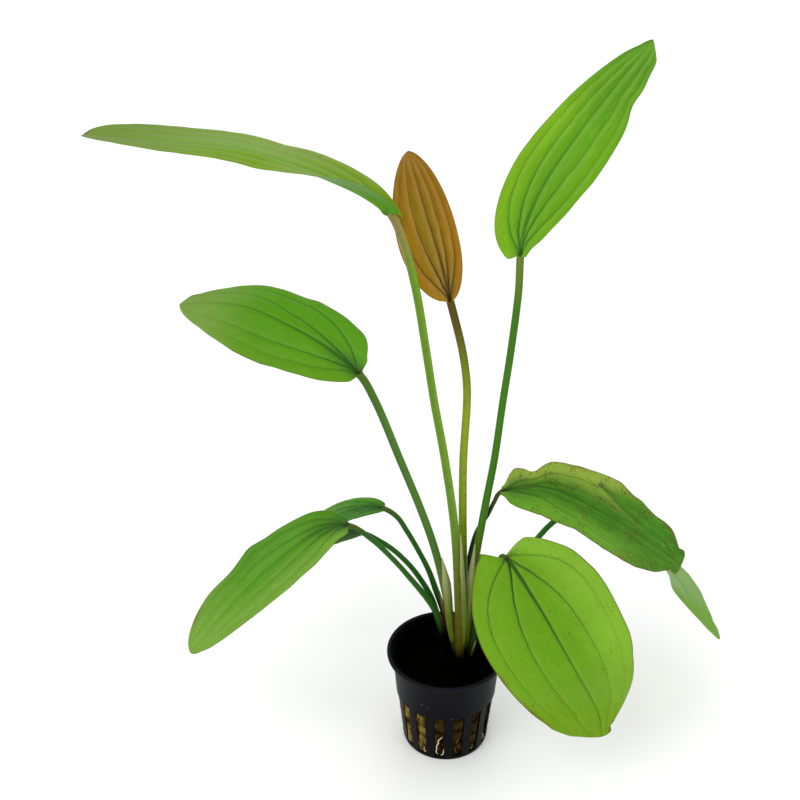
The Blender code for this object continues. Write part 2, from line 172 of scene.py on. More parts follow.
LOOKS = {
    "leaf_upper_left": GREEN._replace(
        rib=(104, 148, 0), right=(110, 144, 0), left=(112, 150, 2), tip=(96, 130, 0),
        vein=(70, 110, 10), under=(76, 134, 0), foot=(104, 94, 10), middle=(110, 152, 32),
        neck=(150, 134, 76), pale=(146, 158, 40), dashes=1.0, veins=0.5, base_shade=0.0,
        tip_brown=0.9, edge=0.25, sheen=0.05),
    "leaf_young_copper": GREEN._replace(
        rib=(128, 106, 0), right=(146, 104, 0), left=(158, 116, 2), tip=(134, 98, 8),
        vein=(62, 46, 4), under=(170, 100, 40), foot=(96, 100, 20), middle=(132, 156, 20),
        neck=(84, 66, 10), pale=(190, 142, 74), sheen=0.15, veins=1.0, edge=0.3, lit=-0.3,
        base_shade=0.0, dashes=0.5, tip_brown=0.8, gloss=0.34, neck_from=0.66),
    "leaf_upper_right": GREEN._replace(
        rib=(90, 150, 12), right=(98, 154, 4), left=(112, 164, 10), tip=(76, 134, 14),
        vein=(30, 92, 8), foot=(128, 136, 18), middle=(56, 112, 0), neck=(98, 118, 30),
        base_shade=0.1, sheen=0.1, edge=0.15, lit=0.22),
    "leaf_middle_left": GREEN._replace(
        rib=(82, 144, 6), right=(84, 146, 18), left=(88, 142, 10), tip=(120, 152, 64),
        vein=(16, 64, 6), foot=(112, 108, 56), middle=(72, 116, 34), neck=(72, 104, 22),
        base_shade=0.6, dashes=0.7, pale=(130, 172, 90), sheen=0.05),
    "leaf_lower_left": GREEN._replace(
        rib=(84, 144, 20), right=(74, 134, 16), left=(108, 154, 46), tip=(114, 156, 54),
        vein=(4, 62, 2), foot=(20, 54, 12), middle=(40, 100, 14), neck=(66, 88, 14),
        base_shade=0.7, veins=0.4, freckles=0.2, tip_brown=0.3, pale=(140, 184, 90), sheen=0.08,
        sunk=57.0),
    "leaf_lower_left_back": GREEN._replace(
        rib=(48, 124, 2), right=(70, 136, 20), left=(54, 128, 2), tip=(76, 140, 32),
        vein=(24, 80, 10), foot=(24, 60, 14), middle=(34, 96, 14), neck=(62, 88, 18), sunk=60.0),
    "leaf_left_back": GREEN._replace(
        rib=(36, 90, 18), right=(46, 102, 24), left=(46, 102, 24), tip=(66, 120, 40),
        vein=(20, 68, 12), foot=(24, 60, 14), middle=(34, 96, 14), neck=(46, 84, 16), sunk=58.0),
    "leaf_right": GREEN._replace(
        rib=(50, 108, 0), right=(92, 146, 30), left=(132, 158, 54), tip=(60, 116, 12),
        vein=(26, 60, 8), foot=(22, 50, 12), middle=(34, 62, 12), neck=(70, 74, 24),
        freckles=1.28, edge=1.0, tip_brown=0.3, pale=(140, 180, 60), sheen=0.12, base_shade=0.0,
        veins=0.5),
    "leaf_front": GREEN._replace(
        rib=(94, 148, 8), right=(104, 152, 16), left=(122, 170, 40), tip=(108, 148, 36),
        vein=(16, 46, 8), foot=(22, 56, 12), middle=(28, 72, 14), neck=(66, 88, 28),
        freckles=0.75, edge=0.8, veins=1.0, base_shade=0.05, gloss=0.42, pale=(140, 182, 54),
        sheen=0.05, lit=-0.2),
    "leaf_right_back": GREEN._replace(
        rib=(124, 168, 78), right=(136, 178, 96), left=(136, 178, 96), tip=(146, 178, 120),
        vein=(90, 142, 70), under=(126, 170, 76), foot=(22, 58, 16), middle=(46, 112, 32),
        neck=(56, 118, 38), veins=0.4),
}


class Sheath(NamedTuple):
    """A thin pale sheath that wraps a stalk's foot. Points and widths are in mm."""

    path: list                   # from its foot up to its tip
    widths: tuple                # half width at the foot, middle, upper part and tip
    face: tuple
    curl: float = 0.5            # how far it wraps back, as a share of its half width
    tint: float = 0.0            # 0 is pale green, 1 is red-brown


# Lateral veins: where each runs, as a signed share of the half width, how soon it gets there
# from the blade's base, and how clear it is.
LATERALS = ((0.42, 5.0, 1.0), (0.76, 9.0, 0.7), (-0.42, 5.0, 1.0), (-0.76, 9.0, 0.7))


class Leaf(NamedTuple):
    """One leaf. Points are in mm, angles in degrees, and shares run from blade base to tip."""

    name: str
    slot: str
    stalk: list
    rib: list
    face: tuple
    half_width: float
    fullness: float = 0.42
    taper: float = 0.6
    skew: tuple = (0, 0, 0)
    fold: tuple = (14, 6, 4)
    twist: tuple = (0, 0, 0)     # how far the blade turns about its rib
    lobe: tuple = (0.0, 0.0)
    wave: float = 0.0
    waves: float = 2.5
    foot: float = STALK_FOOT_RADIUS
    neck: float = STALK_NECK_RADIUS
    bumps: tuple = ()            # (side, share, mm, spread): where the margin swells or dips
    crease: tuple = ()           # (from share, across there, across at the tip, mm high)
    burns: tuple = ()            # (side, share, spread): where the margin has gone brown
    laterals: tuple = LATERALS
    puff: float = 0.14           # how far the blade swells between its veins
    ripple: float = 0.04         # height of the small waves along the margin
    sheaths: tuple = ()


LEAVES = [
    Leaf("leaf_upper_left", "leaf_green",
         stalk=[(6.3, -0.6), (5.1, 1.0, 80), (2.75, 2.5, 118.5), (-2.15, 4, 155.5),
                (-7.2, 6, 185), (-10.8, 7, 209.5), (-15.1, 8.5, 237), (-20.6, 10, 259.4)],
         rib=[(-25.4, 13, 269.3), (-33, 17, 274), (-44, 24, 277), (-85, 42, 284),
              (-122, 54, 282.6), (-156, 64, 281.5)],
         face=(0.0, 0.5, 1.0), half_width=16.5, fullness=0.45, taper=0.35,
         skew=(-0.37, 0.33, 0.2), fold=(47, -9, 11), twist=(5, 23, 18),
         lobe=(5.4, 7.6), foot=2.05, neck=1.75,
         sheaths=(Sheath([(7.6, -1.2, 52), (8.0, -1.2, 66), (7.6, -1.0, 82), (6.6, -0.8, 98),
                          (5.3, 0.2, 118)], (1.0, 1.4, 1.2, 0.2), (0.3, -1.0, 0.1)),)),
    Leaf("leaf_young_copper", "leaf_copper",
         stalk=[(6.4, 7.7), (7.4, 8.5, 79.5), (6.5, 10, 118.5), (6.2, 12, 150),
                (7.2, 13, 180.5), (6.8, 13.5, 190.5), (4.7, 14.5, 205)],
         rib=[(-0.6, 17, 227), (-4.7, 19, 244.5), (-12, 23, 268.5), (-18.4, 27, 290.5)],
         face=(-0.1, -0.95, 0.25), half_width=12.7, fullness=0.52, taper=0.62,
         skew=(-0.25, -0.19, -0.04), fold=(12, 8, 4), foot=2.0, neck=1.75,
         laterals=((0.4, 3.5, 1.0), (0.76, 6.0, 0.7), (-0.4, 3.5, 1.0), (-0.76, 6.0, 0.7)),
         puff=0.4),
    Leaf("leaf_upper_right", "leaf_bright_green",
         stalk=[(9.0, 4.2), (10.6, 5, 77), (12.5, 6, 99), (16.65, 7.5, 131.5), (19.6, 9, 152),
                (22.6, 10.5, 182.5), (25.2, 12, 206.5), (27.4, 13, 234.5)],
         rib=[(27.6, 14, 249.5), (29, 15, 262), (36, 19, 279), (50.5, 25, 300.5),
              (67.3, 30, 322.5), (77.3, 33, 335)],
         face=(-0.2, -0.9, 0.3), half_width=15.1, fullness=0.53, taper=0.72,
         skew=(-0.25, 0.08, 0.15), fold=(10, 6, 3), lobe=(4.0, 1.5), wave=0.5, waves=3.2, neck=1.6,
         bumps=((1, 0.05, -1.3, 0.04), (1, 0.25, 0.6, 0.08), (1, 0.76, -1.9, 0.06),
                (1, 0.95, 1.7, 0.05), (-1, 0.42, 0.5, 0.1), (-1, 0.96, -0.5, 0.04)),
         puff=0.35,
         sheaths=(Sheath([(7.0, 0.8, 52), (8.6, 1.0, 68), (9.8, 1.2, 83), (10.9, 1.6, 98),
                          (12.0, 2.4, 111)], (1.0, 1.5, 1.7, 0.2), (-0.3, -1.0, 0.1)),)),
    Leaf("leaf_middle_left", "leaf_green",
         stalk=[(4.8, 3.4), (0, 4, 77.5), (-5.9, 4, 106.5), (-12.4, 3, 129.5),
                (-21.6, 2, 157), (-32.4, 1, 188.5)],
         rib=[(-38.4, 2, 200), (-53.5, 10, 209.5), (-72, 20, 215.5), (-85.5, 28, 217.5),
              (-101.5, 36, 215.5), (-117.3, 40, 212.5)],
         face=(0.0, -0.5, 0.86), half_width=18.7, fullness=0.45, taper=0.64,
         skew=(0.11, -0.12, -0.29), fold=(6, -8, -6), lobe=(0.6, 0.0), neck=1.7,
         bumps=((1, 0.035, -1.0, 0.02), (1, 0.1, 0.8, 0.04), (1, 0.37, 0.6, 0.04),
                (1, 0.82, -0.5, 0.08), (1, 0.96, 1.2, 0.04), (-1, 0.13, 0.6, 0.07),
                (-1, 0.36, -0.6, 0.08), (-1, 0.6, 0.5, 0.08)),
         laterals=((0.8, 1.0, 0.9), (0.8, 6.0, 0.7), (-0.5, 5.0, 0.8), (-0.76, 9.0, 0.4)),
         sheaths=(Sheath([(3.4, 1.2, 54), (1.6, 1.0, 66), (0.3, 1.4, 82), (-1.0, 1.8, 93),
                          (-2.8, 2.6, 103)], (1.5, 2.0, 2.1, 0.2), (0.2, -1.0, 0.1)),)),
    Leaf("leaf_lower_left", "leaf_green",
         stalk=[(0.6, 2.6), (-5.1, 3, 71), (-8.8, 3, 78.5), (-16.4, 2.5, 90.5),
                (-24.6, 2, 102.5), (-33.9, 2, 113.5)],
         rib=[(-44, 2, 121.5), (-56, -3, 123), (-75.5, -12, 113), (-94, -20, 97),
              (-114.6, -28, 73.5)],
         face=(-0.1, -0.6, 0.8), half_width=12.7, fullness=0.44, taper=0.53,
         skew=(-0.02, -0.13, 0.19), fold=(12, 10, 5), foot=1.65, neck=1.2,
         bumps=((1, 0.22, -0.4, 0.06), (1, 0.45, 1.4, 0.06), (1, 0.61, -1.2, 0.09),
                (-1, 0.09, -0.9, 0.03), (-1, 0.25, 0.6, 0.06), (-1, 0.97, -0.5, 0.04)),
         burns=((1, 0.86, 0.05),)),
    Leaf("leaf_lower_left_back", "leaf_deep_green",
         stalk=[(2.6, 10.2), (-0.6, 10, 63.5), (-5, 11, 77.5), (-8.5, 12, 88.5),
                (-13.4, 13, 99.5), (-18.7, 14.5, 109.5), (-23, 16, 116)],
         rib=[(-28.7, 18, 119), (-41, 26, 112.7), (-57, 36, 98.6), (-74.5, 45, 75.5),
              (-89.5, 52, 53.5)],
         face=(-0.2, -0.2, 0.95), half_width=7.9, taper=0.7, skew=(-0.09, 0.0, 0.05),
         lobe=(1.0, 1.0), neck=1.2,
         sheaths=(Sheath([(0.6, 7.5, 56), (-1.2, 7.8, 66), (-3.4, 8.6, 79)],
                         (0.9, 0.9, 0.6, 0.15), (-0.2, -1.0, 0.1), tint=0.6),)),
    Leaf("leaf_left_back", "leaf_deep_green",
         stalk=[(-0.6, 7.2), (-5.9, 8, 71.5), (-9, 8, 80), (-15.5, 8, 92), (-19.4, 8.5, 97),
                (-24.1, 9, 102), (-30, 9, 107)],
         rib=[(-38.8, 10, 111.4), (-50, 14, 107.6), (-64, 18, 97), (-79, 22, 78.5)],
         face=(-0.4, -0.1, 0.9), half_width=7.0, taper=0.8,
         skew=(-0.2, -0.1, 0.0), foot=1.6, neck=1.2,
         sheaths=(Sheath([(0.2, 4.8, 58), (-1.8, 5.0, 64), (-4.2, 5.5, 71)],
                         (0.6, 0.8, 0.6, 0.15), (0.1, -1.0, 0.1), tint=1.0),)),
    Leaf("leaf_right", "leaf_green",
         stalk=[(8.8, 11.6), (8.5, 12, 80), (10.7, 12, 100), (13.0, 12, 110.5),
                (17.5, 10.5, 121), (20.1, 8, 130)],
         rib=[(22.9, 5.5, 137.5), (33, 3, 141.5), (40.5, 3, 142), (52.5, 2, 138),
              (64.5, 0, 132), (83.5, -3, 120.5), (103.3, -7, 106.2)],
         face=(0.1, -0.5, 0.85), half_width=17.2, fullness=0.49, taper=0.35,
         skew=(0.21, -0.02, -0.13), fold=(12, 8, 4), lobe=(1.0, 1.0), wave=0.8, waves=2.2,
         foot=1.65, neck=1.0,
         bumps=((1, 0.035, -2.9, 0.03), (1, 0.16, 1.4, 0.04), (1, 0.42, -0.8, 0.08),
                (1, 0.77, 0.7, 0.06), (1, 0.92, -1.5, 0.03), (1, 0.96, -3.0, 0.03),
                (-1, 0.03, -2.0, 0.018), (-1, 0.08, 1.9, 0.03), (-1, 0.175, -3.9, 0.035),
                (-1, 0.44, -0.8, 0.12), (-1, 0.62, -1.6, 0.06), (-1, 0.8, -4.7, 0.17),
                (-1, 0.84, 1.4, 0.05), (-1, 0.965, -3.6, 0.05)),
         laterals=((0.75, 3.5, 0.7), (0.3, 3.0, 0.5), (-0.35, 3.0, 0.8), (-0.62, 8.0, 0.9)),
         crease=(0.45, 0.66, 0.08, -1.3), ripple=0.12,
         burns=((-1, 0.9, 0.07), (-1, 0.36, 0.04), (1, 0.7, 0.03))),
    Leaf("leaf_front", "leaf_bright_green",
         stalk=[(11.4, 0.4), (12.7, 2, 58.5), (15, 3, 78.5), (21.9, -2.6, 103.2)],
         rib=[(24.5, -9.2, 112.8), (38.9, -17, 93.1), (48.6, -25, 78.5), (57.7, -33, 64.5),
              (66.8, -38, 48), (69.6, -40, 34.6)],
         face=(0.0, -0.9, 0.45), half_width=31.0, fullness=0.42, taper=0.6,
         skew=(-0.06, 0.01, 0.03), fold=(8, 4, 4), lobe=(2.5, 10.8), neck=1.05,
         bumps=((1, 0.02, -2.7, 0.02), (1, 0.05, -1.8, 0.03), (1, 0.1, -1.1, 0.05),
                (1, 0.18, 0.5, 0.07), (1, 0.3, 1.1, 0.1), (1, 0.92, 4.6, 0.1),
                (-1, 0.09, -0.7, 0.04), (-1, 0.11, 1.1, 0.06), (-1, 0.6, 0.8, 0.07),
                (-1, 0.9, -6.4, 0.09), (-1, 0.965, -1.2, 0.025)),
         laterals=((0.45, 4.5, 0.9), (0.8, 12.0, 0.5), (-0.45, 4.5, 0.7), (-0.8, 14.0, 0.35)),
         puff=0.12, burns=((1, 0.72, 0.08), (1, 0.5, 0.04), (-1, 0.97, 0.02)),
         sheaths=(Sheath([(11.6, -1.8, 49), (12.6, -1.6, 54), (13.4, -1.4, 58)],
                         (0.5, 0.6, 0.4, 0.1), (0.1, -1.0, 0.1), tint=0.3),)),
    Leaf("leaf_right_back", "leaf_deep_green",
         stalk=[(12.6, 6.6), (24.4, 8, 80), (41.1, 12, 107.5), (49.0, 15, 115), (60, 19, 119)],
         rib=[(75.5, 24, 111), (94, 30, 88.5), (113.2, 36, 62.3), (121.4, 41, 42.6),
              (137.2, 45, 18.9)],
         face=(0.75, 0.55, 0.4), half_width=14.1, neck=1.3,
         bumps=((1, 0.3, -0.6, 0.07), (1, 0.4, 1.9, 0.07), (1, 0.6, -0.8, 0.07),
                (1, 0.72, 2.0, 0.08), (1, 0.85, 1.7, 0.07), (-1, 0.5, -0.4, 0.07),
                (-1, 0.6, -1.2, 0.07), (-1, 0.72, 2.2, 0.07), (-1, 0.85, -0.9, 0.07))),
]

# Roots that show at the slots: how fresh each is, then (degrees from -Y, height, depth outside
# the wall) points.
FRONT_ROOTS = [
    (1.0, [(-4.6, 15.8, -1.6), (-7.0, 14.8, -0.4), (-10.2, 14.0, 0.3), (-10.0, 12.0, 0.4),
           (-12.4, 10.0, 0.4), (-11.6, 8.2, 0.3), (-13.4, 6.4, 0.3), (-11.8, 4.6, 0.2),
           (-8.8, 3.0, -0.6)]),
    (1.0, [(-4.0, 8.0, -1.8), (-3.6, 5.6, -0.4), (-5.2, 3.6, 0.0), (-7.4, 2.9, -0.4)]),
    (0.4, [(-35.0, 12.0, -1.4), (-33.6, 9.6, -0.5), (-35.0, 7.4, -0.3), (-32.4, 5.4, -0.3)]),
    (0.7, [(-33.0, 7.2, -1.4), (-30.6, 5.2, -0.3), (-28.6, 3.6, -0.1), (-27.0, 2.9, -0.5)]),
    (0.6, [(-60.0, 8.4, -1.4), (-60.5, 6.4, -0.4), (-57.5, 5.0, -0.1), (-54.0, 3.4, -0.5)]),
    (0.5, [(-62.0, 10.6, -1.4), (-60.0, 9.0, -0.5), (-58.2, 7.4, -0.4), (-57.4, 6.0, -1.0)]),
    (0.3, [(16.6, 14.4, -1.4), (14.8, 13.0, -0.4), (13.0, 11.6, -0.4), (13.4, 9.6, -1.2)]),
    (0.2, [(14.2, 8.4, -1.4), (12.6, 6.4, -0.5), (14.0, 4.4, -0.4), (13.0, 3.2, -1.0)]),
    (0.5, [(40.4, 7.0, -1.4), (38.6, 5.0, -0.4), (37.0, 3.6, -0.4), (36.0, 3.0, -0.8)]),
]


def setting(kind, name, description, default, **limits):
    """A setting that a user would change."""
    return kind(name=name, description=description, default=default, **limits)


def length_setting(name, description, millimetres, **limits):
    """A length, given in millimetres and kept in metres."""
    return setting(FloatProperty, name, description, millimetres * MM, unit="LENGTH", **limits)


def colour_setting(name, description, colour):
    """A colour."""
    return setting(FloatVectorProperty, name, description, colour, subtype="COLOR", size=4)


class PotSettings(bpy.types.PropertyGroup):
    """Sizes and colour of the net pot."""

    slots: setting(IntProperty, "Slots", "Number of slots around the wall", 15, min=3, max=40)
    slot_width: length_setting("Slot Width", "Width of a slot at its top", 5.2,
                               min=0.001, max=0.01)
    colour: colour_setting("Plastic", "Colour of the moulded plastic", srgb(6, 6, 11))


class WoolSettings(bpy.types.PropertyGroup):
    """The rock wool plug and its loose fibres."""

    density: setting(FloatProperty, "Density", "Fibres per square metre of surface", 1.1e6,
                     min=0.0)
    length: length_setting("Length", "Length of a fibre", 3.2)
    radius: length_setting("Radius", "Thickness of a fibre", 0.055)
    seed: setting(IntProperty, "Seed", "Arrangement of the fibres", 3)
    colour: colour_setting("Wool", "Colour of the wool at the slots", srgb(146, 126, 50))


class LeafSettings(bpy.types.PropertyGroup):
    """Sizes that all the leaves share."""

    thickness: length_setting("Thickness", "Thickness of a blade", 0.7)
    groove: length_setting("Groove", "Depth of the veins in the upper face", 0.22)


class RootSettings(bpy.types.PropertyGroup):
    """The roots that show at the slots."""

    radius: length_setting("Radius", "Thickness of a root", 0.27)
    crook: length_setting("Crook", "How far a root wanders from its line", 0.8)
    seed: setting(IntProperty, "Seed", "Arrangement of the roots", 11)
    colour: colour_setting("Root", "Colour of a young root", srgb(214, 203, 178))


class StageSettings(bpy.types.PropertyGroup):
    """The floor, the lights and the camera."""

    floor: colour_setting("Floor", "Colour of the floor", (0.96, 0.96, 0.96, 1.0))
    glow: setting(FloatProperty, "Glow", "Light that the floor gives off", 0.07)
    sky: setting(FloatProperty, "Sky", "Strength of the even light", 0.85)
    key: setting(FloatProperty, "Key", "Strength of the main lamp", 9.0)
    fill: setting(FloatProperty, "Fill", "Strength of the side lamps", 3.0)
    lens: setting(FloatProperty, "Lens", "Focal length in millimetres", 75.0)


class Signal:
    """A node's output. Plain arithmetic on it adds Math nodes to its tree."""

    def __init__(self, tree, socket):
        self.tree = tree
        self.socket = socket

    def __add__(self, other):
        return self.tree.math("ADD", self, other)

    def __mul__(self, other):
        return self.tree.math("MULTIPLY", self, other)

    def __sub__(self, other):
        return self.tree.math("SUBTRACT", self, other)

    def __rsub__(self, other):
        return self.tree.math("SUBTRACT", other, self)

    def __truediv__(self, other):
        return self.tree.math("DIVIDE", self, other)

    def __rtruediv__(self, other):
        return self.tree.math("DIVIDE", other, self)

    def __pow__(self, other):
        return self.tree.math("POWER", self, other)

    def __abs__(self):
        return self.tree.math("ABSOLUTE", self)

    __radd__ = __add__
    __rmul__ = __mul__


class Tree:
    """Adds nodes to a shader or geometry tree and joins their sockets."""

    def __init__(self, tree):
        self.tree = tree

    def put(self, socket, value):
        """Link a socket, or set its value."""
        if isinstance(value, Signal):
            self.tree.links.new(value.socket, socket)
        else:
            socket.default_value = value

    def node(self, kind, inputs, settings):
        """A new node. inputs pairs a socket's name or number with a value or a signal."""
        node = self.tree.nodes.new(kind)
        for name, value in settings.items():
            setattr(node, name, value)
        for name, value in inputs.items():
            self.put(node.inputs[name], value)
        return node

    def add(self, kind, inputs=None, out=0, **settings):
        """One output of a new node, or several where out is a tuple."""
        outputs = self.node(kind, inputs or {}, settings).outputs
        if isinstance(out, tuple):
            return [Signal(self, outputs[name]) for name in out]
        return Signal(self, outputs[out])

    def group(self, name, **inputs):
        """A shader group placed in this tree, as its outputs by name."""
        node = self.node("ShaderNodeGroup", {}, {"node_tree": SHADER_GROUPS[name]})
        for label, value in inputs.items():
            self.put(node.inputs[label], value)
        return {socket.name: Signal(self, socket) for socket in node.outputs}

    def math(self, operation, *values, clamp=False):
        """The result of a Math node."""
        return self.add("ShaderNodeMath", dict(enumerate(values)), operation=operation,
                        use_clamp=clamp)

    def most(self, first, second):
        """The greater of two values."""
        return self.math("MAXIMUM", first, second)

    def vector_math(self, operation, *values, out=0):
        """The result of a Vector Math node."""
        return self.add("ShaderNodeVectorMath", dict(enumerate(values)), out, operation=operation)

    def between(self, value, low, high, first=0.0, last=1.0, way="LINEAR"):
        """Runs from first at low to last at high."""
        inputs = {"Value": value, "From Min": low, "From Max": high, "To Min": first,
                  "To Max": last}
        return self.add("ShaderNodeMapRange", inputs, interpolation_type=way)

    def ramp(self, value, low, high):
        """Rises smoothly from 0 at low to 1 at high."""
        return self.between(value, low, high, way="SMOOTHSTEP")

    def mix(self, share, first, second, blend="MIX"):
        """A colour between two others, each a signal, a linear colour or 0 to 255 values."""
        first, second = (srgb(*colour) if isinstance(colour, tuple) and len(colour) == 3
                         else colour for colour in (first, second))
        return self.add("ShaderNodeMix", {0: share, 6: first, 7: second}, 2, data_type="RGBA",
                        blend_type=blend)

    def layers(self, colour, *coats):
        """A colour with others laid over it in turn, each by its own mask."""
        for mask, coat in coats:
            colour = self.mix(mask, colour, coat)
        return colour

    def noise(self, vector, scale, detail=2.0, distortion=0.0):
        """A noise value from 0 to 1."""
        return self.add("ShaderNodeTexNoise", {"Vector": vector, "Scale": scale,
                                               "Detail": detail, "Distortion": distortion})

    def vector(self, x, y, z):
        """A vector from three values."""
        return self.add("ShaderNodeCombineXYZ", {0: x, 1: y, 2: z})

    def parts(self, vector):
        """The three values of a vector."""
        return self.add("ShaderNodeSeparateXYZ", {0: vector}, (0, 1, 2))


SHADER_GROUPS = {}


def new_group(name, kind, inputs, outputs, output_kind):
    """A node group with named sockets: its helper, its inputs and a call that sets its outputs.

    An input is given by its default number, or by its kind where it has none.
    """
    tree = bpy.data.node_groups.new(name, kind)
    for label, value in inputs.items():
        socket = value if isinstance(value, str) else type(value).__name__.capitalize()
        item = tree.interface.new_socket(label, in_out="INPUT", socket_type="NodeSocket" + socket)
        if socket != value:
            item.default_value = value
    for label in outputs:
        tree.interface.new_socket(label, in_out="OUTPUT", socket_type="NodeSocket" + output_kind)
    t = Tree(tree)
    start = tree.nodes.new("NodeGroupInput")
    end = tree.nodes.new("NodeGroupOutput")

    def give(**values):
        """Set the outputs with these names."""
        for label, value in values.items():
            t.put(end.inputs[label], value)

    return t, {socket.name: Signal(t, socket) for socket in start.outputs}, give


def shader_group(name, inputs, outputs):
    """A shader node group, kept by its name for the materials that use it."""
    t, given, give = new_group(name, "ShaderNodeTree", inputs, outputs, "Float")
    SHADER_GROUPS[name] = t.tree
    return t, given, give


def make_leaf_veins():
    """The midrib, the small cross veins and the margin, from a leaf's own map."""
    t, given, give = shader_group("Leaf Veins", {"Map": "Vector", "Length": 100.0},
                                  ("Midrib", "Ladder", "Margin", "Side", "Share"))
    across, along, half = t.parts(given["Map"])
    side = abs(across)
    share = t.math("MAXIMUM", along, 0.0, clamp=True)
    left = 1.0 - share
    on_blade = t.ramp(along, 0.0, BLADE_EDGE)
    from_rib = side * half
    distance = from_rib / (0.24 + 0.95 * left**1.4)
    midrib = 1.0 - t.ramp(distance, 0.4, 1.0)
    midrib -= left * (1.0 - t.ramp(distance, 0.05, 0.4)) * 0.45

    run = share * given["Length"]
    wander = t.noise(t.vector(run, across * half, 0.0), 0.16, 1.0)
    steps = (run - from_rib * 0.8) / LADDER_STEP + wander * 3.0
    ladder = 1.0 - t.ramp(abs(t.math("FRACT", steps) - 0.5), 0.02, 0.14)
    give(Midrib=midrib * on_blade, Ladder=ladder * on_blade, Margin=(1.0 - side) * half,
         Side=side, Share=share)


def make_lateral_vein():
    """One lateral vein, from a leaf's own map, with the band beside it that the leaf paints in
    shade and a strip on one side that it paints as a highlight.
    """
    t, given, give = shader_group(
        "Lateral Vein", {"Map": "Vector", "Place": 0.4, "Rise": 5.0, "Sunny": 1.0},
        ("Line", "Beside", "Lit"))
    across, along, half = t.parts(given["Map"])
    left = 1.0 - t.math("MAXIMUM", along, 0.0, clamp=True)
    offset = (across - (1.0 - left ** given["Rise"]) * given["Place"]) * half
    wander = t.noise(t.vector(along * 30.0, given["Place"], 0.0), 1.0)
    offset += (wander - 0.5) * 0.9
    away = abs(offset)
    line = 1.0 - t.ramp(away / (0.17 + 0.75 * left**2.6), 0.25, 1.0)
    # The band beside the vein, which the leaf darkens as painted shade and sinks as relief.
    beside = 1.0 - t.ramp(away, 0.2, 2.2)
    # A painted highlight: a pale strip along one side of the vein.
    toward_highlight = offset * given["Sunny"]
    lit = t.ramp(toward_highlight, 0.2, 0.7) * (1.0 - t.ramp(toward_highlight, 0.7, 2.8))
    on_blade = t.ramp(along, 0.0, BLADE_EDGE)
    give(Line=line * on_blade, Beside=beside * on_blade, Lit=lit * on_blade)


def make_mottle():
    """Slow drifts of tone with finer grain in them."""
    t, given, give = shader_group("Mottle", {"Vector": "Vector", "Scale": 40.0}, ("Tone",))
    broad = t.noise(given["Vector"], given["Scale"])
    fine = t.noise(given["Vector"], given["Scale"] * 9.0, 3.0)
    give(Tone=broad * 0.7 + fine * 0.3)


def make_freckles():
    """Short brown dashes, more of them in some patches than in others."""
    t, given, give = shader_group("Freckles", {"Vector": "Vector", "Amount": 0.5, "Margin": 5.0},
                                  ("Mask",))
    x, y, z = t.parts(given["Vector"])
    dashes = t.noise(t.vector(x * 1.3, y * 0.7, z), 1.15)
    patches = t.ramp(t.noise(given["Vector"], 0.13), 0.48, 0.62)
    near = t.most(patches, (1.0 - t.ramp(given["Margin"], 0.5, 4.0)) * 0.75)
    level = 0.74 - given["Amount"] * (0.3 + near) * 0.13
    spots = t.ramp(dashes - level, 0.0, 0.04)
    give(Mask=spots * t.math("GREATER_THAN", given["Amount"], 0.01))


def make_grain():
    """Fine relief for moulded or fibrous surfaces, as a bump height."""
    t, given, give = shader_group("Grain", {"Vector": "Vector", "Size": 0.0004}, ("Height",))
    scale = 1.0 / given["Size"]
    fine = t.noise(given["Vector"], scale)
    coarse = t.noise(given["Vector"], scale * 0.17)
    give(Height=fine * 0.4 + coarse * 0.6)


class Paint(Tree):
    """A material's tree, with the parts that most of the finishes share."""

    def __init__(self, name):
        self.material = bpy.data.materials.new(name)
        self.material.use_nodes = True
        super().__init__(self.material.node_tree)
        self.position = self.add("ShaderNodeTexCoord", out="Object")

    def tone(self, scale):
        """Mottled tone at this scale."""
        return self.group("Mottle", Vector=self.position, Scale=scale)["Tone"]

    def grain(self, size):
        """Grain of this size in mm."""
        return self.group("Grain", Vector=self.position, Size=size * MM)["Height"]

    def attribute(self, name, out="Fac"):
        """A value that the mesh carries."""
        return self.add("ShaderNodeAttribute", out=out, attribute_name=name)

    def finish(self, colour, roughness, specular=0.5, height=None, strength=1.0, depth=0.0):
        """Feed the shader, with a bump of this depth in mm, and hand over the material."""
        values = {"Base Color": colour, "Roughness": roughness, "Specular IOR Level": specular}
        if height:
            values["Normal"] = self.add("ShaderNodeBump", {
                "Height": height, "Strength": strength, "Distance": depth * MM})
        shader = self.tree.nodes["Principled BSDF"]
        for name, value in values.items():
            self.put(shader.inputs[name], value)
        return self.material


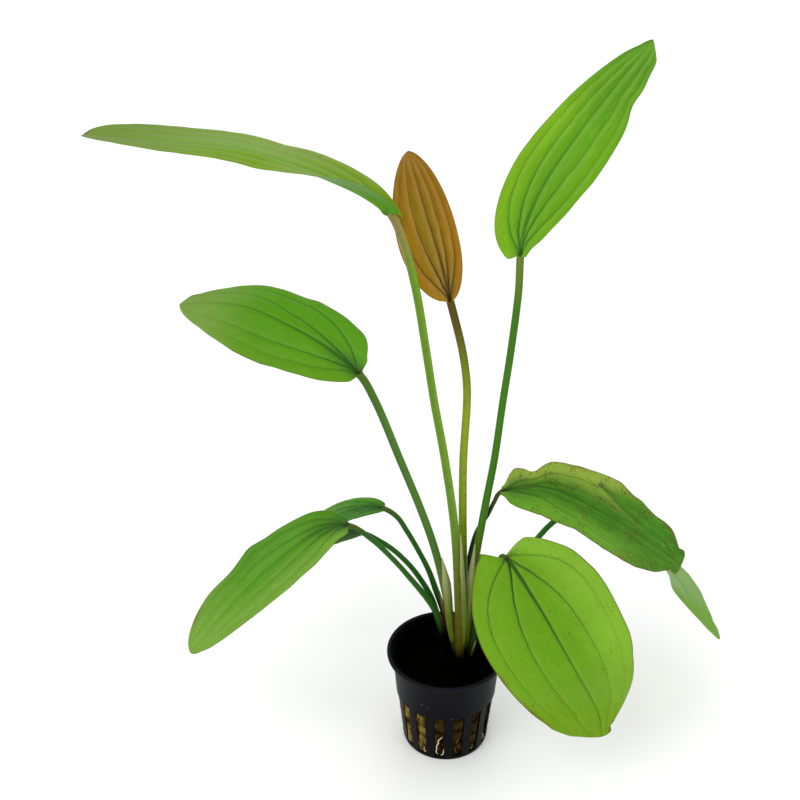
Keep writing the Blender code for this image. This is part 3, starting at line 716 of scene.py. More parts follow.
def leaf_material(leaf, length):
    """A leaf's finish, from its own map: the blade, its underside, the stalk and sheath."""
    look = LOOKS[leaf.name]
    t = Paint(leaf.name)
    leaf_map = t.attribute("leaf_map", "Vector")
    under, tint, crease_shade = t.parts(t.attribute("leaf_marks", "Vector"))
    burn = t.attribute("leaf_burn")
    # Painted shadow along a crease.
    folded = t.attribute("leaf_fold")
    across, along, half = t.parts(leaf_map)
    veins = t.group("Leaf Veins", Map=leaf_map, Length=length)
    share, side, midrib = veins["Share"], veins["Side"], veins["Midrib"]
    laterals, beside, lit = 0.0, 0.0, 0.0
    for vein_place, rise, strength in leaf.laterals + ((0.0, 1.0, 1.0),):
        vein = t.group("Lateral Vein", Map=leaf_map, Place=vein_place, Rise=rise,
                       Sunny=1.0 if look.lit > 0 else -1.0)
        if vein_place:
            laterals = t.most(laterals, vein["Line"] * strength)
        beside = t.most(beside, vein["Beside"] * strength)
        lit = t.most(lit, vein["Lit"] * strength)
    run, offset = along * length, across * half
    streaks = t.noise(t.vector(run * 0.14, offset * 0.75, under), 1.0, 4.0)
    tone = t.tone(45.0) * 0.7 + streaks * 0.3
    freckles = t.group("Freckles", Vector=t.vector(run, offset, under * 50.0),
                       Amount=look.freckles, Margin=veins["Margin"])["Mask"]

    near_rib = 1.0 - t.ramp(side * half, 0.5, 7.0)
    near_base = 1.0 - t.ramp(share, 0.02, 0.35)
    clear = (1.0 - share * 0.75) * look.veins
    blade = t.layers(
        look.rib,
        (t.ramp(across, 0.1, 0.8), look.right),
        (t.ramp(across, -0.1, -0.8), look.left),
        (t.ramp(share, 0.5, 1.0), look.tip),
        # Painted shade beyond the crease, where the blade turns away from the light, and a painted
        # shadow right along it.
        (crease_shade * 0.9, (52, 116, 6)),
        (folded, (10, 62, 4)),
        # Painted reflection: paler streaks along the blade.
        (t.ramp(streaks, 0.45, 0.75) * look.sheen, look.pale),
        (near_base * (near_rib * look.base_shade), look.vein),
        (veins["Ladder"] * look.ladder, look.vein),
        # Painted shade in a soft band along each vein's groove.
        (beside * (clear * 0.22), look.vein),
        # Painted highlight on one side of each vein.
        (lit * abs(look.lit), look.pale),
        (laterals * clear, look.vein),
        (midrib * clear, look.vein))
    below = t.mix(t.most(midrib, laterals * 0.6) * 0.45, look.under, look.rib)
    broken = t.ramp(t.noise(t.position, 90.0), 0.35, 0.6)
    rim = (1.0 - t.ramp(veins["Margin"], 0.15, 0.6)) * broken * look.edge
    burnt = t.most(t.ramp(share, 0.985, 1.0) * look.tip_brown, burn * 0.8)
    joint = (1.0 - t.ramp(share, 0.004, 0.035)) * (1.0 - t.ramp(side, 0.1, 0.6))
    blade = t.layers(
        blade,
        (t.ramp(under, 0.4, 0.6), below),
        (freckles * 0.62, (80, 46, 8)),
        (t.most(rim, burnt), (104, 62, 20)),
        (joint * 0.7, (50, 40, 12)))

    place = along + 1.0
    ticks = t.noise(t.vector(place * 260.0, across * 0.7, under * 3.0), 1.0, 1.0)
    ticks = t.ramp(ticks, 0.58, 0.7)
    stalk = t.layers(
        look.foot,
        (t.ramp(place, 0.05, 0.42), look.middle),
        (t.ramp(place, look.neck_from, 0.99), look.neck),
        (ticks * 0.5, look.vein),
        (ticks * (1.0 - t.ramp(place, 0.1, 0.5)) * look.dashes, (104, 58, 20)),
        (abs(across) ** 3.0 * 0.35, (30, 62, 20)))

    threads = t.noise(t.vector(across * 3.0, along * 1.2, 0.0), 2.0)
    sheath = t.layers(
        (92, 122, 20),
        (t.ramp(along + 3.0, 0.3, 1.0), (176, 184, 126)),
        (t.ramp(threads, 0.4, 0.7) * 0.5, (104, 96, 44)),
        (abs(across) ** 4.0 * 0.6, (128, 84, 52)),
        (tint, (128, 62, 40)))

    # Painted shade deep in the pot: low down, the stalk and sheath fade to near-black and lose
    # their reflection.
    dark = t.ramp(t.parts(t.position)[2], (look.sunk + 12.0) * MM, look.sunk * MM)
    value = 0.75 + tone * 0.5
    whole = t.layers(
        stalk,
        (dark, (3, 3, 1)),
        (t.ramp(along, 0.0, 0.01), blade),
        (t.math("LESS_THAN", along, -1.5), t.mix(dark * 0.9, sheath, (14, 12, 4))))
    whole = t.mix(1.0, whole, t.vector(value, value, value), "MULTIPLY")
    relief = veins["Ladder"] * -0.25 - beside * 0.8 + t.grain(0.5) * 0.5 + threads * 0.5
    return t.finish(whole, (look.gloss - 0.05) + tone * 0.14, (1.0 - dark) * LEAF_SHINE,
                    relief, 0.5, 0.3)


def pot_material():
    """Near-black moulded plastic with a soft gloss, faint scuffs and dried marks, a painted
    highlight dot and a painted highlight along the lip, and painted shade inside and towards the
    foot.
    """
    t = Paint("pot_plastic")
    tone = t.tone(60.0)
    x, y, z = t.parts(t.position)
    marks = t.ramp(t.noise(t.position, 130.0, 3.0, 0.6), 0.64, 0.76)
    whole = t.layers(tuple(bpy.context.scene.plant_pot.colour), (marks * 0.12, (62, 60, 60)),
                     (tone * 0.35, (13, 13, 24)))
    # Scuffs, and the painted highlight dot.
    for angle, height, wide, high in POT_SCUFFS_AND_HIGHLIGHT:
        radius = outer_radius(height)
        centre = (radius * sin(radians(angle)), -radius * cos(radians(angle)), height)
        away = t.vector_math("SUBTRACT", t.position, [value * MM for value in centre])
        away = t.vector_math("MULTIPLY", away, [1.0 / (size * MM) for size in (wide, wide, high)])
        far = t.vector_math("LENGTH", away, out="Value")
        whole = t.mix(t.ramp(far, 1.0, 0.5) * 0.7, whole, (96, 96, 100))
    # Painted shade inside the wall: near-black, with almost no reflection.
    wall = t.between(z, POT_FLOOR * MM, POT_NECK_HEIGHT * MM, *(r * MM for r in WALL_RADII))
    lip = t.between(z, POT_NECK_HEIGHT * MM, (POT_HEIGHT - 0.2) * MM, 0.0, LIP_LEAN * MM)
    inside = t.math("LESS_THAN", t.math("SQRT", x * x + y * y), wall + lip)
    whole = t.layers(
        whole,
        # Painted shade towards the pot's foot.
        (t.ramp(z, 9.0 * MM, 2.0 * MM) * 0.9, (1, 1, 2)),
        # Painted highlight along the lip.
        (t.ramp(z, 49.2 * MM, 49.8 * MM) * 0.8, (20, 20, 28)),
        (inside, (3, 3, 4)))
    return t.finish(whole, 0.34 + tone * 0.2, (1.0 - inside * 0.85) * 0.05, t.grain(0.6),
                    0.25, 0.2)


def wool_material():
    """Brown-olive fibres, painted almost black as shade above the slots where light hardly
    reaches, and painted darker as shade on all but the left side.
    """
    t = Paint("rock_wool")
    tone = t.tone(240.0)
    x, _, z = t.parts(t.position)
    whole = t.layers(
        (58, 40, 12),
        (t.ramp(tone, 0.42, 0.56), tuple(bpy.context.scene.plant_wool.colour)),
        (t.ramp(tone, 0.54, 0.64) * 0.6, (168, 146, 78)),
        # Painted shade on all but the left side.
        (t.ramp(x, -15.0 * MM, -3.0 * MM) * 0.86, (20, 10, 1)),
        # Painted shade above the slots.
        (t.ramp(z, 26.0 * MM, 31.0 * MM), (1, 1, 0)))
    return t.finish(whole, 0.95, 0.02, t.grain(0.5), 0.8, 0.6)


def crown_material():
    """Woody rootstock, its brown painted near-black as the shade deep in the pot."""
    t = Paint("rootstock")
    whole = t.mix(t.ramp(t.tone(150.0), 0.3, 0.7), (1, 1, 0), (6, 4, 2))
    return t.finish(whole, 0.9, 0.02, t.grain(0.8), 0.7, 0.6)


def root_material():
    """Waxy young roots, browner in places."""
    t = Paint("young_root")
    whole = t.layers(
        tuple(bpy.context.scene.plant_roots.colour),
        (t.ramp(t.tone(260.0), 0.5, 0.75), (150, 118, 74)),
        (t.ramp(t.attribute("fresh"), 1.0, 0.2), (118, 70, 36)))
    return t.finish(whole, 0.4)


def unit(vectors):
    """The same vectors at length 1."""
    return vectors / np.linalg.norm(vectors, axis=-1, keepdims=True)


def smooth_path(points, count):
    """A smooth curve through the points, read at equal steps of length."""
    points = np.asarray(points, float)
    legs = np.sqrt(np.linalg.norm(np.diff(points, axis=0), axis=1))
    knots = np.concatenate([[0.0], np.cumsum(legs)])
    slopes = np.diff(points, axis=0) / legs[:, None]
    tangents = np.vstack([slopes[:1], slopes[-1:]])
    inner = (slopes[:-1] * legs[1:, None] + slopes[1:] * legs[:-1, None])
    inner /= (legs[:-1] + legs[1:])[:, None]
    tangents = np.insert(tangents, 1, inner, axis=0)
    dense = []
    for value in np.linspace(0.0, knots[-1], count * 12):
        i = min(int(np.searchsorted(knots, value, side="right")) - 1, len(legs) - 1)
        x = (value - knots[i]) / legs[i]
        dense.append((2 * x**3 - 3 * x**2 + 1) * points[i]
                     + (x**3 - 2 * x**2 + x) * legs[i] * tangents[i]
                     + (3 * x**2 - 2 * x**3) * points[i + 1]
                     + (x**3 - x**2) * legs[i] * tangents[i + 1])
    return np.array(dense)


def read_path(dense, shares):
    """Points and directions of a curve at the given shares of its length."""
    steps = np.linalg.norm(np.diff(dense, axis=0), axis=1)
    length = np.concatenate([[0.0], np.cumsum(steps)])
    directions = unit(np.gradient(dense, axis=0))
    wanted = np.asarray(shares) * length[-1]
    places = np.column_stack([np.interp(wanted, length, dense[:, k]) for k in range(3)])
    ways = np.column_stack([np.interp(wanted, length, directions[:, k]) for k in range(3)])
    return places, unit(ways), length[-1]


def frame_at(side, way):
    """Directions to the right and out of the face, square to the way."""
    right = unit(side - way * side.dot(way))
    return right, np.cross(right, way)


def ring_points():
    """Across from 1 to -1 over the upper face and back below: values and which face."""
    steps = np.linspace(1.0, -1.0, ACROSS + 1)
    across = 0.6 * steps + 0.4 * np.sin(0.5 * pi * steps)
    ring = np.concatenate([across, across[-2:0:-1]])
    lower = np.concatenate([np.zeros(ACROSS + 1), np.ones(ACROSS - 1)])
    lower[[0, ACROSS]] = 0.5
    return ring, lower


RING, LOWER = ring_points()
UP = np.sqrt(np.maximum(0.0, 1.0 - RING**2)) * (1.0 - 2.0 * LOWER)


def half_widths_at(leaf, share):
    """Half the blade's width on the right and on the left at a share of its length."""
    widest = leaf.fullness / (leaf.fullness + leaf.taper)
    near = min(share, 0.9995)
    rise = (near / widest) ** leaf.fullness
    fall = ((1.0 - near) / (1.0 - widest)) ** leaf.taper
    skew = np.interp(share, BLADE_KNOTS, leaf.skew)
    tip = min(1.0, (1.0 - share) / TIP_LENGTH)
    widths = []
    for side in (1, -1):
        width = leaf.half_width * rise * fall * (1.0 + side * skew)
        for bump_side, centre, size, spread in leaf.bumps:
            if bump_side == side:
                width += size * tip * bell(share - centre, spread)
        widths.append(max(width, LEAST_HALF_WIDTH))
    return widths


def held(values):
    """Values held between 0 and 1."""
    return np.clip(values, 0.0, 1.0)


def bell(away, spread):
    """1 in the middle, falling smoothly to nearly 0 at twice the spread."""
    return np.exp(-(away / spread) ** 2)


def lateral_places(leaf, share):
    """Where the lateral veins run at a share of the blade's length."""
    return [place * (1.0 - (1.0 - share) ** rise) for place, rise, _ in leaf.laterals]


def swell(leaf, share):
    """How far the blade swells between its veins: 0 on a vein and 1 midway."""
    limits = np.array(sorted([-1.0, 0.0, 1.0] + lateral_places(leaf, share)))
    cell = np.clip(np.searchsorted(limits, RING, side="right") - 1, 0, len(limits) - 2)
    low, high = limits[cell], limits[cell + 1]
    return np.sin(pi * held((RING - low) / np.maximum(high - low, 1e-6)))


def blade_ring(leaf, settings, share, place, way, right, normal):
    """One fine ring across the blade: folded, swollen between its veins and waved."""
    opening = min(1.0, share / OPENING_LENGTH)
    opening = opening * opening * (3.0 - 2.0 * opening)
    tip = min(1.0, (1.0 - share) / TIP_LENGTH)
    side = np.abs(RING)
    rights, lefts = half_widths_at(leaf, share)
    width = np.where(RING > 0, rights, lefts)
    if share < 0.5:
        width = leaf.neck + (width - leaf.neck) * opening
    fold = radians(np.interp(share, BLADE_KNOTS, leaf.fold))
    half = width * RING

    ripple = np.sin(2.0 * pi * leaf.waves * share + 1.3 * (RING > 0))
    lift = (np.sqrt(half**2 + FOLD_ROUNDING**2) - FOLD_ROUNDING) * sin(fold)
    lift += leaf.wave * ripple * side**3 * opening * tip
    small = (np.sin(2.0 * pi * 9.3 * share + 2.0 * (RING > 0))
             + 0.7 * np.sin(2.0 * pi * 15.1 * share))
    lift += leaf.ripple * small * side**4 * opening * tip
    ridge, crease_shade, folded = crease_at(leaf, share)
    lift += ridge * tip
    lift += leaf.puff * swell(leaf, share) * opening * tip * min(1.0, 3.0 * (1.0 - share))
    thick = 0.5 * settings.thickness / MM
    body = np.sqrt(np.maximum(0.0, 1.0 - side**4)) * np.sign(UP)
    thick = leaf.neck * (1.0 - opening) * UP + thick * opening * body * (0.35 + 0.65 * tip)

    strength = opening * (1.0 - share)
    keel = KEEL_DEPTH * strength * bell(half, KEEL_WIDTH)
    lines = 1.2 * bell(half, MIDRIB_GROOVE_WIDTH)
    for vein in lateral_places(leaf, share):
        lines = lines + bell((RING - vein) * width, LATERAL_GROOVE_WIDTH)
    groove = settings.groove / MM * strength * lines
    thick -= np.where(LOWER < 0.25, groove, 0.0)
    thick -= np.where(LOWER > 0.75, keel + 1.3 * groove, 0.0)

    reach = np.where(RING > 0, leaf.lobe[1], leaf.lobe[0])
    back = reach * side**1.5 * max(0.0, 1.0 - share / LOBE_REACH) ** 1.5 * opening
    points = (place + np.outer(half * cos(fold), right) + np.outer(lift + thick, normal)
              - np.outer(back, way))
    burn = np.zeros_like(RING)
    for burn_side, middle, spread in leaf.burns:
        margin = held(1.0 - (1.0 - side) * width / BURN_WIDTH) * (RING * burn_side > 0)
        burn = np.maximum(burn, margin * bell(share - middle, spread))
    return points, ring_map(share, width, crease_shade, burn, folded)


def ring_map(share, width, crease_shade=0.0, burn=0.0, folded=0.0):
    """What the materials read at each point of a ring."""
    columns = [RING, share, width, LOWER, crease_shade, burn, folded]
    return np.column_stack([np.broadcast_to(column, RING.shape) for column in columns])


def crease_at(leaf, share):
    """How high a leaf's crease lifts each point of a ring, how much painted shade lies beyond it
    and how much painted shadow lies right along it.
    """
    if not leaf.crease or share < leaf.crease[0]:
        return 0.0, 0.0, 0.0
    start, first, last, height = leaf.crease
    run = (share - start) / (1.0 - start)
    line = first + (last - first) * run**0.7
    across = -RING
    ridge = np.minimum(across / line, (1.0 - across) / (1.0 - line)) * (across > 0)
    top = line + (1.2 - line) * min(1.0, 0.15 + 2.6 * run)
    past = across - line
    # Painted shade beyond the crease line, and a painted shadow in a narrow band right along it.
    crease_shade = held(past / 0.07) * held((top - across) / 0.4)
    folded = held(past / 0.03) * held(1.0 - past / 0.2)
    return height * ridge * min(1.0, 6.0 * run), crease_shade, folded * max(0.0, 1.0 - 1.6 * run)


def leaf_rings(leaf, settings):
    """Fine rings along one leaf with the map of each point, and the blade's length."""
    foot = leaf.stalk[0] + (STALK_FOOT_HEIGHT,)
    whole = smooth_path([foot] + leaf.stalk[1:] + leaf.rib, 60)
    blade_start = int(np.argmin(np.linalg.norm(whole - np.array(leaf.rib[0]), axis=1)))
    chord = unit(np.subtract(leaf.rib[-1], leaf.rib[0]).astype(float))
    side = unit(np.cross(chord, np.array(leaf.face)))

    rings, maps = [], []
    shares = np.linspace(0.0, 1.0, STALK_STATIONS, endpoint=False)
    places, ways, _ = read_path(whole[:blade_start + 1], shares)
    ways[0] = (0.0, 0.0, 1.0)
    for share, place, way in zip(shares, places, ways):
        right, normal = frame_at(side, way)
        radius = leaf.foot + (leaf.neck - leaf.foot) * min(1.0, 1.6 * share)
        rings.append(place + radius * (np.outer(RING, right) + np.outer(UP, normal)))
        maps.append(ring_map(share - 1.0, radius))

    shares = 0.5 - 0.5 * np.cos(pi * np.linspace(0.0, 1.0, BLADE_STATIONS))
    places, ways, length = read_path(whole[blade_start:], shares)
    for share, place, way in zip(shares, places, ways):
        right, normal = frame_at(side, way)
        angle = radians(np.interp(share, BLADE_KNOTS, leaf.twist))
        right, normal = (right * cos(angle) + normal * sin(angle),
                         normal * cos(angle) - right * sin(angle))
        points, values = blade_ring(leaf, settings, share, place, way, right, normal)
        rings.append(points)
        maps.append(values)
    return np.array(rings), np.array(maps), length


def sheath_rings(sheath, stations=24):
    """Fine rings of one thin sheath with the map of each point."""
    shares = np.linspace(0.0, 1.0, stations)
    places, ways, _ = read_path(smooth_path(sheath.path, 12), shares)
    side = unit(np.cross(unit(places[-1] - places[0]), np.array(sheath.face)))
    rings, maps = [], []
    for share, place, way in zip(shares, places, ways):
        right, normal = frame_at(side, way)
        width = np.interp(share, (0.0, 0.35, 0.7, 1.0), sheath.widths)
        thick = SHEATH_THICKNESS * np.sqrt(np.maximum(0.0, 1.0 - np.abs(RING) ** 3)) * np.sign(UP)
        lift = thick - sheath.curl * width * RING**2
        rings.append(place + np.outer(width * RING, right) + np.outer(lift, normal))
        maps.append(ring_map(share - 3.0, width))
    return np.array(rings), np.array(maps)


def tube_faces(stations, first):
    """Faces of a closed tube of rings, with a cap at each end."""
    size = len(RING)
    faces = [tuple(first + k for k in reversed(range(size)))]
    for i in range(stations - 1):
        for k in range(size):
            n = (k + 1) % size
            a, b = first + i * size, first + (i + 1) * size
            faces.append((a + k, a + n, b + n, b + k))
    faces.append(tuple(first + (stations - 1) * size + k for k in range(size)))
    return faces


def build_leaf(leaf, settings):
    """A leaf's mesh: its stalk and blade in one shell, and a shell for each sheath."""
    rings, maps, length = leaf_rings(leaf, settings)
    shells = [(rings, maps, 0.0)]
    for sheath in leaf.sheaths:
        shells.append((*sheath_rings(sheath), sheath.tint))
    points, faces, values = [], [], []
    for shell_rings, shell_maps, tint in shells:
        faces += tube_faces(len(shell_rings), sum(len(p) for p in points))
        points.append(shell_rings.reshape(-1, 3) * MM)
        shell_values = shell_maps.reshape(-1, 7)
        values.append(np.insert(shell_values, 4, tint, axis=1))
    values = np.concatenate(values).astype(np.float32)
    mesh = bpy.data.meshes.new(leaf.name + "_fine")
    mesh.from_pydata(np.concatenate(points).tolist(), [], faces)
    for name, columns in (("leaf_map", slice(0, 3)), ("leaf_marks", slice(3, 6))):
        attribute = mesh.attributes.new(name, "FLOAT_VECTOR", "POINT")
        attribute.data.foreach_set("vector", values[:, columns].ravel())
    for name, column in (("leaf_burn", 6), ("leaf_fold", 7)):
        attribute = mesh.attributes.new(name, "FLOAT", "POINT")
        attribute.data.foreach_set("value", values[:, column].copy())
    return mesh, length


def face_outwards(mesh):
    """Turn every face outwards and shade the mesh smooth."""
    work = bmesh.new()
    work.from_mesh(mesh)
    bmesh.ops.recalc_face_normals(work, faces=work.faces)
    work.to_mesh(mesh)
    work.free()
    mesh.shade_smooth()


def new_object(name, data):
    """An object in the scene."""
    thing = bpy.data.objects.new(name, data)
    bpy.context.scene.collection.objects.link(thing)
    return thing


def add_piece(name, mesh, material, slot, *nodes):
    """Put a finished mesh in the scene, riding on the plant in place of its nodes."""
    if material is not None:
        mesh.materials.clear()
        mesh.materials.append(material)
    piece = new_object(name, mesh)
    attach(piece, BODY)
    if nodes:
        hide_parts(*nodes)
    return piece


def baked(thing, name, tree, values):
    """The plain mesh that a Geometry Nodes tree makes of an object, which is then removed."""
    modifier = thing.modifiers.new(tree.name, "NODES")
    modifier.node_group = tree
    for item in tree.interface.items_tree:
        if item.in_out == "INPUT" and item.name in values:
            modifier[item.identifier] = values[item.name]
    graph = bpy.context.evaluated_depsgraph_get()
    mesh = bpy.data.meshes.new_from_object(thing.evaluated_get(graph))
    mesh.name = name
    bpy.data.objects.remove(thing, do_unlink=True)
    if not mesh.polygons:
        raise RuntimeError(f"{name} came out empty")
    return mesh


def turned(name, profile, segments):
    """A closed mesh turned about Z from (radius, height) points in mm that start and end on it."""
    (_, first), *ring, (_, last) = profile
    size = len(ring)
    top = 1 + segments * size
    points = [(0.0, 0.0, first * MM)]
    faces = []
    for k in range(segments):
        angle = 2.0 * pi * k / segments
        points += [(radius * MM * cos(angle), radius * MM * sin(angle), height * MM)
                   for radius, height in ring]
        a, b = 1 + k * size, 1 + (k + 1) % segments * size
        faces.append((0, b, a))
        faces += [(a + i, b + i, b + i + 1, a + i + 1) for i in range(size - 1)]
        faces.append((a + size - 1, b + size - 1, top))
    mesh = bpy.data.meshes.new(name)
    mesh.from_pydata(points + [(0.0, 0.0, last * MM)], [], faces)
    return mesh


def inner_radius(height):
    """Radius of the pot's inner wall at a height."""
    return float(np.interp(height, POT_INNER_HEIGHTS, POT_INNER_RADII))


def outer_radius(height):
    """Radius of the pot's outer wall at a height."""
    heights = (POT_FLOOR, POT_WAIST_HEIGHT, POT_STEP_HEIGHT, POT_NECK_HEIGHT)
    return float(np.interp(height, heights, POT_OUTER_RADII))


def pot_profile():
    """The closed turned profile of the pot."""
    floor, waist, step, neck = POT_OUTER_RADII
    lip = POT_HEIGHT - POT_LIP_HEIGHT
    rim = POT_RIM_RADIUS
    edge = rim - POT_EDGE - POT_LIP_WIDTH
    outside = [(0.0, 0.0), (POT_BASE_RADIUS, 0.0), (floor - 0.3, POT_EDGE), (floor, POT_FLOOR),
               (waist, POT_WAIST_HEIGHT), (step - 0.6, POT_STEP_HEIGHT - 0.6),
               (step, POT_STEP_HEIGHT), (neck, POT_NECK_HEIGHT), (neck + 0.6, lip - 0.6),
               (rim - POT_EDGE, lip), (rim - 0.1, lip + 0.25), (rim, lip + 0.7),
               (rim, POT_HEIGHT - POT_EDGE), (rim - 0.15, POT_HEIGHT - 0.15),
               (rim - POT_EDGE, POT_HEIGHT), (edge + POT_EDGE, POT_HEIGHT),
               (edge, POT_HEIGHT - POT_EDGE)]
    inside = [(inner_radius(height), height) for height in reversed(POT_INNER_HEIGHTS)]
    return outside + inside + [(0.0, POT_FLOOR)]


def geometry_group(name, inputs):
    """A geometry group that takes a mesh and, as its last step, gives it a material."""
    inputs = {"Geometry": "Geometry", **inputs, "Material": "Material"}
    t, given, give = new_group(name, "GeometryNodeTree", inputs, ("Geometry",), "Geometry")

    def give_mesh(geometry):
        """Finish the tree with this geometry."""
        geometry = t.add("GeometryNodeRealizeInstances", {0: geometry})
        give(Geometry=t.add("GeometryNodeSetMaterial",
                            {"Geometry": geometry, "Material": given["Material"]}))
        return t.tree

    return t, given, give_mesh


def slots_tree():
    """Cuts a ring of slots, narrower at the foot, through a turned wall."""
    t, given, give_mesh = geometry_group(
        "Pot Slots", {"Slots": 15, "Turn": 0.0, "Width": 0.004, "Foot Share": 0.84,
                      "Bottom": 0.002, "Top": 0.026, "Inner Radius": 0.015,
                      "Outer Radius": 0.026})
    reach = given["Outer Radius"] - given["Inner Radius"]
    height = given["Top"] - given["Bottom"]
    wedge = t.add("GeometryNodeMeshCube", {"Size": t.vector(reach, given["Width"], height),
                                           "Vertices Z": 2})
    x, y, z = t.parts(t.add("GeometryNodeInputPosition"))
    narrow = 1.0 - t.math("LESS_THAN", z, 0.0) * (1.0 - given["Foot Share"])
    moved = t.vector(x + (given["Inner Radius"] + reach * 0.5), y * narrow,
                     z + (given["Bottom"] + height * 0.5))
    wedge = t.add("GeometryNodeSetPosition", {"Geometry": wedge, "Position": moved})
    points = t.add("GeometryNodePoints", {"Count": given["Slots"]})
    turn = t.add("GeometryNodeInputIndex") * (2.0 * pi / given["Slots"]) + given["Turn"]
    wedges = t.add("GeometryNodeInstanceOnPoints", {
        "Points": points, "Instance": wedge, "Rotation": t.vector(0.0, 0.0, turn)})
    wedges = t.add("GeometryNodeRealizeInstances", {0: wedges})
    return give_mesh(t.add("GeometryNodeMeshBoolean",
                           {"Mesh 1": given["Geometry"], "Mesh 2": wedges},
                           operation="DIFFERENCE", solver="EXACT"))


def fibres_tree():
    """Scatters short curved fibres that lie along a surface."""
    t, given, give_mesh = geometry_group(
        "Wool Fibres", {"Density": 1000.0, "Length": 0.003, "Radius": 0.0001, "Seed": 0})
    seed, length = given["Seed"], given["Length"]
    open_share = t.add("GeometryNodeInputNamedAttribute", {"Name": "open"}, data_type="FLOAT")
    points, rotation = t.add(
        "GeometryNodeDistributePointsOnFaces",
        {"Mesh": given["Geometry"], "Density": given["Density"] * open_share, "Seed": seed},
        ("Points", "Rotation"))
    line = t.add("GeometryNodeCurveQuadraticBezier", {
        "Resolution": 4, "Start": t.vector(length * -0.5, 0.0, 0.0),
        "Middle": t.vector(0.0, length * 0.22, length * 0.12),
        "End": t.vector(length * 0.5, 0.0, 0.0)})
    outline = t.add("GeometryNodeCurvePrimitiveCircle",
                    {"Resolution": 3, "Radius": given["Radius"]})
    fibre = t.add("GeometryNodeCurveToMesh", {"Curve": line, "Profile Curve": outline})
    spin = t.add("FunctionNodeRandomValue", {"Min": (0.0, 0.0, 0.0), "Max": (0.5, 0.5, 6.28),
                                             "Seed": seed}, data_type="FLOAT_VECTOR")
    turn = t.add("FunctionNodeRotateRotation", {"Rotation": rotation, "Rotate By": spin},
                 rotation_space="LOCAL")
    size = t.add("FunctionNodeRandomValue", {2: 0.45, 3: 1.25, "Seed": seed}, 1,
                 data_type="FLOAT")
    fibres = t.add("GeometryNodeInstanceOnPoints", {
        "Points": points, "Instance": fibre, "Rotation": turn, "Scale": size})
    both = t.node("GeometryNodeJoinGeometry", {}, {})
    t.put(both.inputs[0], given["Geometry"])
    t.put(both.inputs[0], t.add("GeometryNodeRealizeInstances", {0: fibres}))
    return give_mesh(Signal(t, both.outputs[0]))


def roots_tree():
    """Turns lines into tapered, slightly crooked roots."""
    t, given, give_mesh = geometry_group("Roots", {"Radius": 0.0003, "Crook": 0.0004})
    curve = t.add("GeometryNodeMeshToCurve", {"Mesh": given["Geometry"]})
    curve = t.add("GeometryNodeResampleCurve", {"Curve": curve, "Length": 0.0006},
                  mode="LENGTH")
    place = t.add("GeometryNodeInputPosition")
    wobble = t.add("ShaderNodeTexNoise", {"Vector": place, "Scale": 320.0, "Detail": 1.0},
                   "Color")
    wobble = t.vector_math("SUBTRACT", wobble, (0.5, 0.5, 0.5))
    wobble = t.add("ShaderNodeVectorMath", {0: wobble, "Scale": given["Crook"]},
                   operation="SCALE")
    curve = t.add("GeometryNodeSetPosition", {"Geometry": curve, "Offset": wobble})
    run = t.add("GeometryNodeSplineParameter", out="Factor")
    fresh = t.add("GeometryNodeInputNamedAttribute", {"Name": "fresh"}, data_type="FLOAT")
    size = (0.3 + (run * (1.0 - run)) ** 0.35 * 1.1) * (0.5 + fresh * 0.5)
    outline = t.add("GeometryNodeCurvePrimitiveCircle",
                    {"Resolution": 8, "Radius": given["Radius"]})
    tube = t.add("GeometryNodeCurveToMesh", {"Curve": curve, "Profile Curve": outline,
                                             "Scale": size, "Fill Caps": True})
    return give_mesh(t.add("GeometryNodeSetShadeSmooth", {0: tube}))


def slot_share(angle, height, slots, width):
    """1 where the pot's wall is open at this angle and height, falling to 0 beside it."""
    pitch = 2.0 * pi / slots
    from_slot = (angle - radians(SLOT_TURN - 90.0) + 0.5 * pitch) % pitch - 0.5 * pitch
    away = np.abs(from_slot) * inner_radius(height)
    half = np.interp(height, (SLOT_BOTTOM, SLOT_TOP), (SLOT_FOOT_SHARE, 1.0)) * width / 2.0
    inside = np.clip((half + 0.05 - away) / 0.35, 0.0, 1.0)
    ends = np.clip(min(height - SLOT_BOTTOM + 1.0, SLOT_TOP + 1.0 - height), 0.0, 1.0)
    return float(inside * ends)


class PLANT_OT_pot(bpy.types.Operator):
    """Mould the black net pot and cut its slots"""

    bl_idname = "plant.pot"
    bl_label = "Make Pot"

    def execute(self, context):
        settings = context.scene.plant_pot
        thing = new_object("pot_shell", turned("pot_shell", pot_profile(), POT_SEGMENTS))
        mesh = baked(thing, "net_pot", slots_tree(), {
            "Slots": settings.slots, "Turn": radians(SLOT_TURN - 90.0),
            "Width": settings.slot_width, "Foot Share": SLOT_FOOT_SHARE,
            "Bottom": SLOT_BOTTOM * MM, "Top": SLOT_TOP * MM,
            "Inner Radius": SLOT_CUT_RADII[0] * MM, "Outer Radius": SLOT_CUT_RADII[1] * MM,
            "Material": pot_material()})
        mesh.shade_smooth()
        mesh.set_sharp_from_angle(angle=radians(32.0))
        add_piece("net_pot", mesh, None, "pot_plastic", "pot")
        return {"FINISHED"}


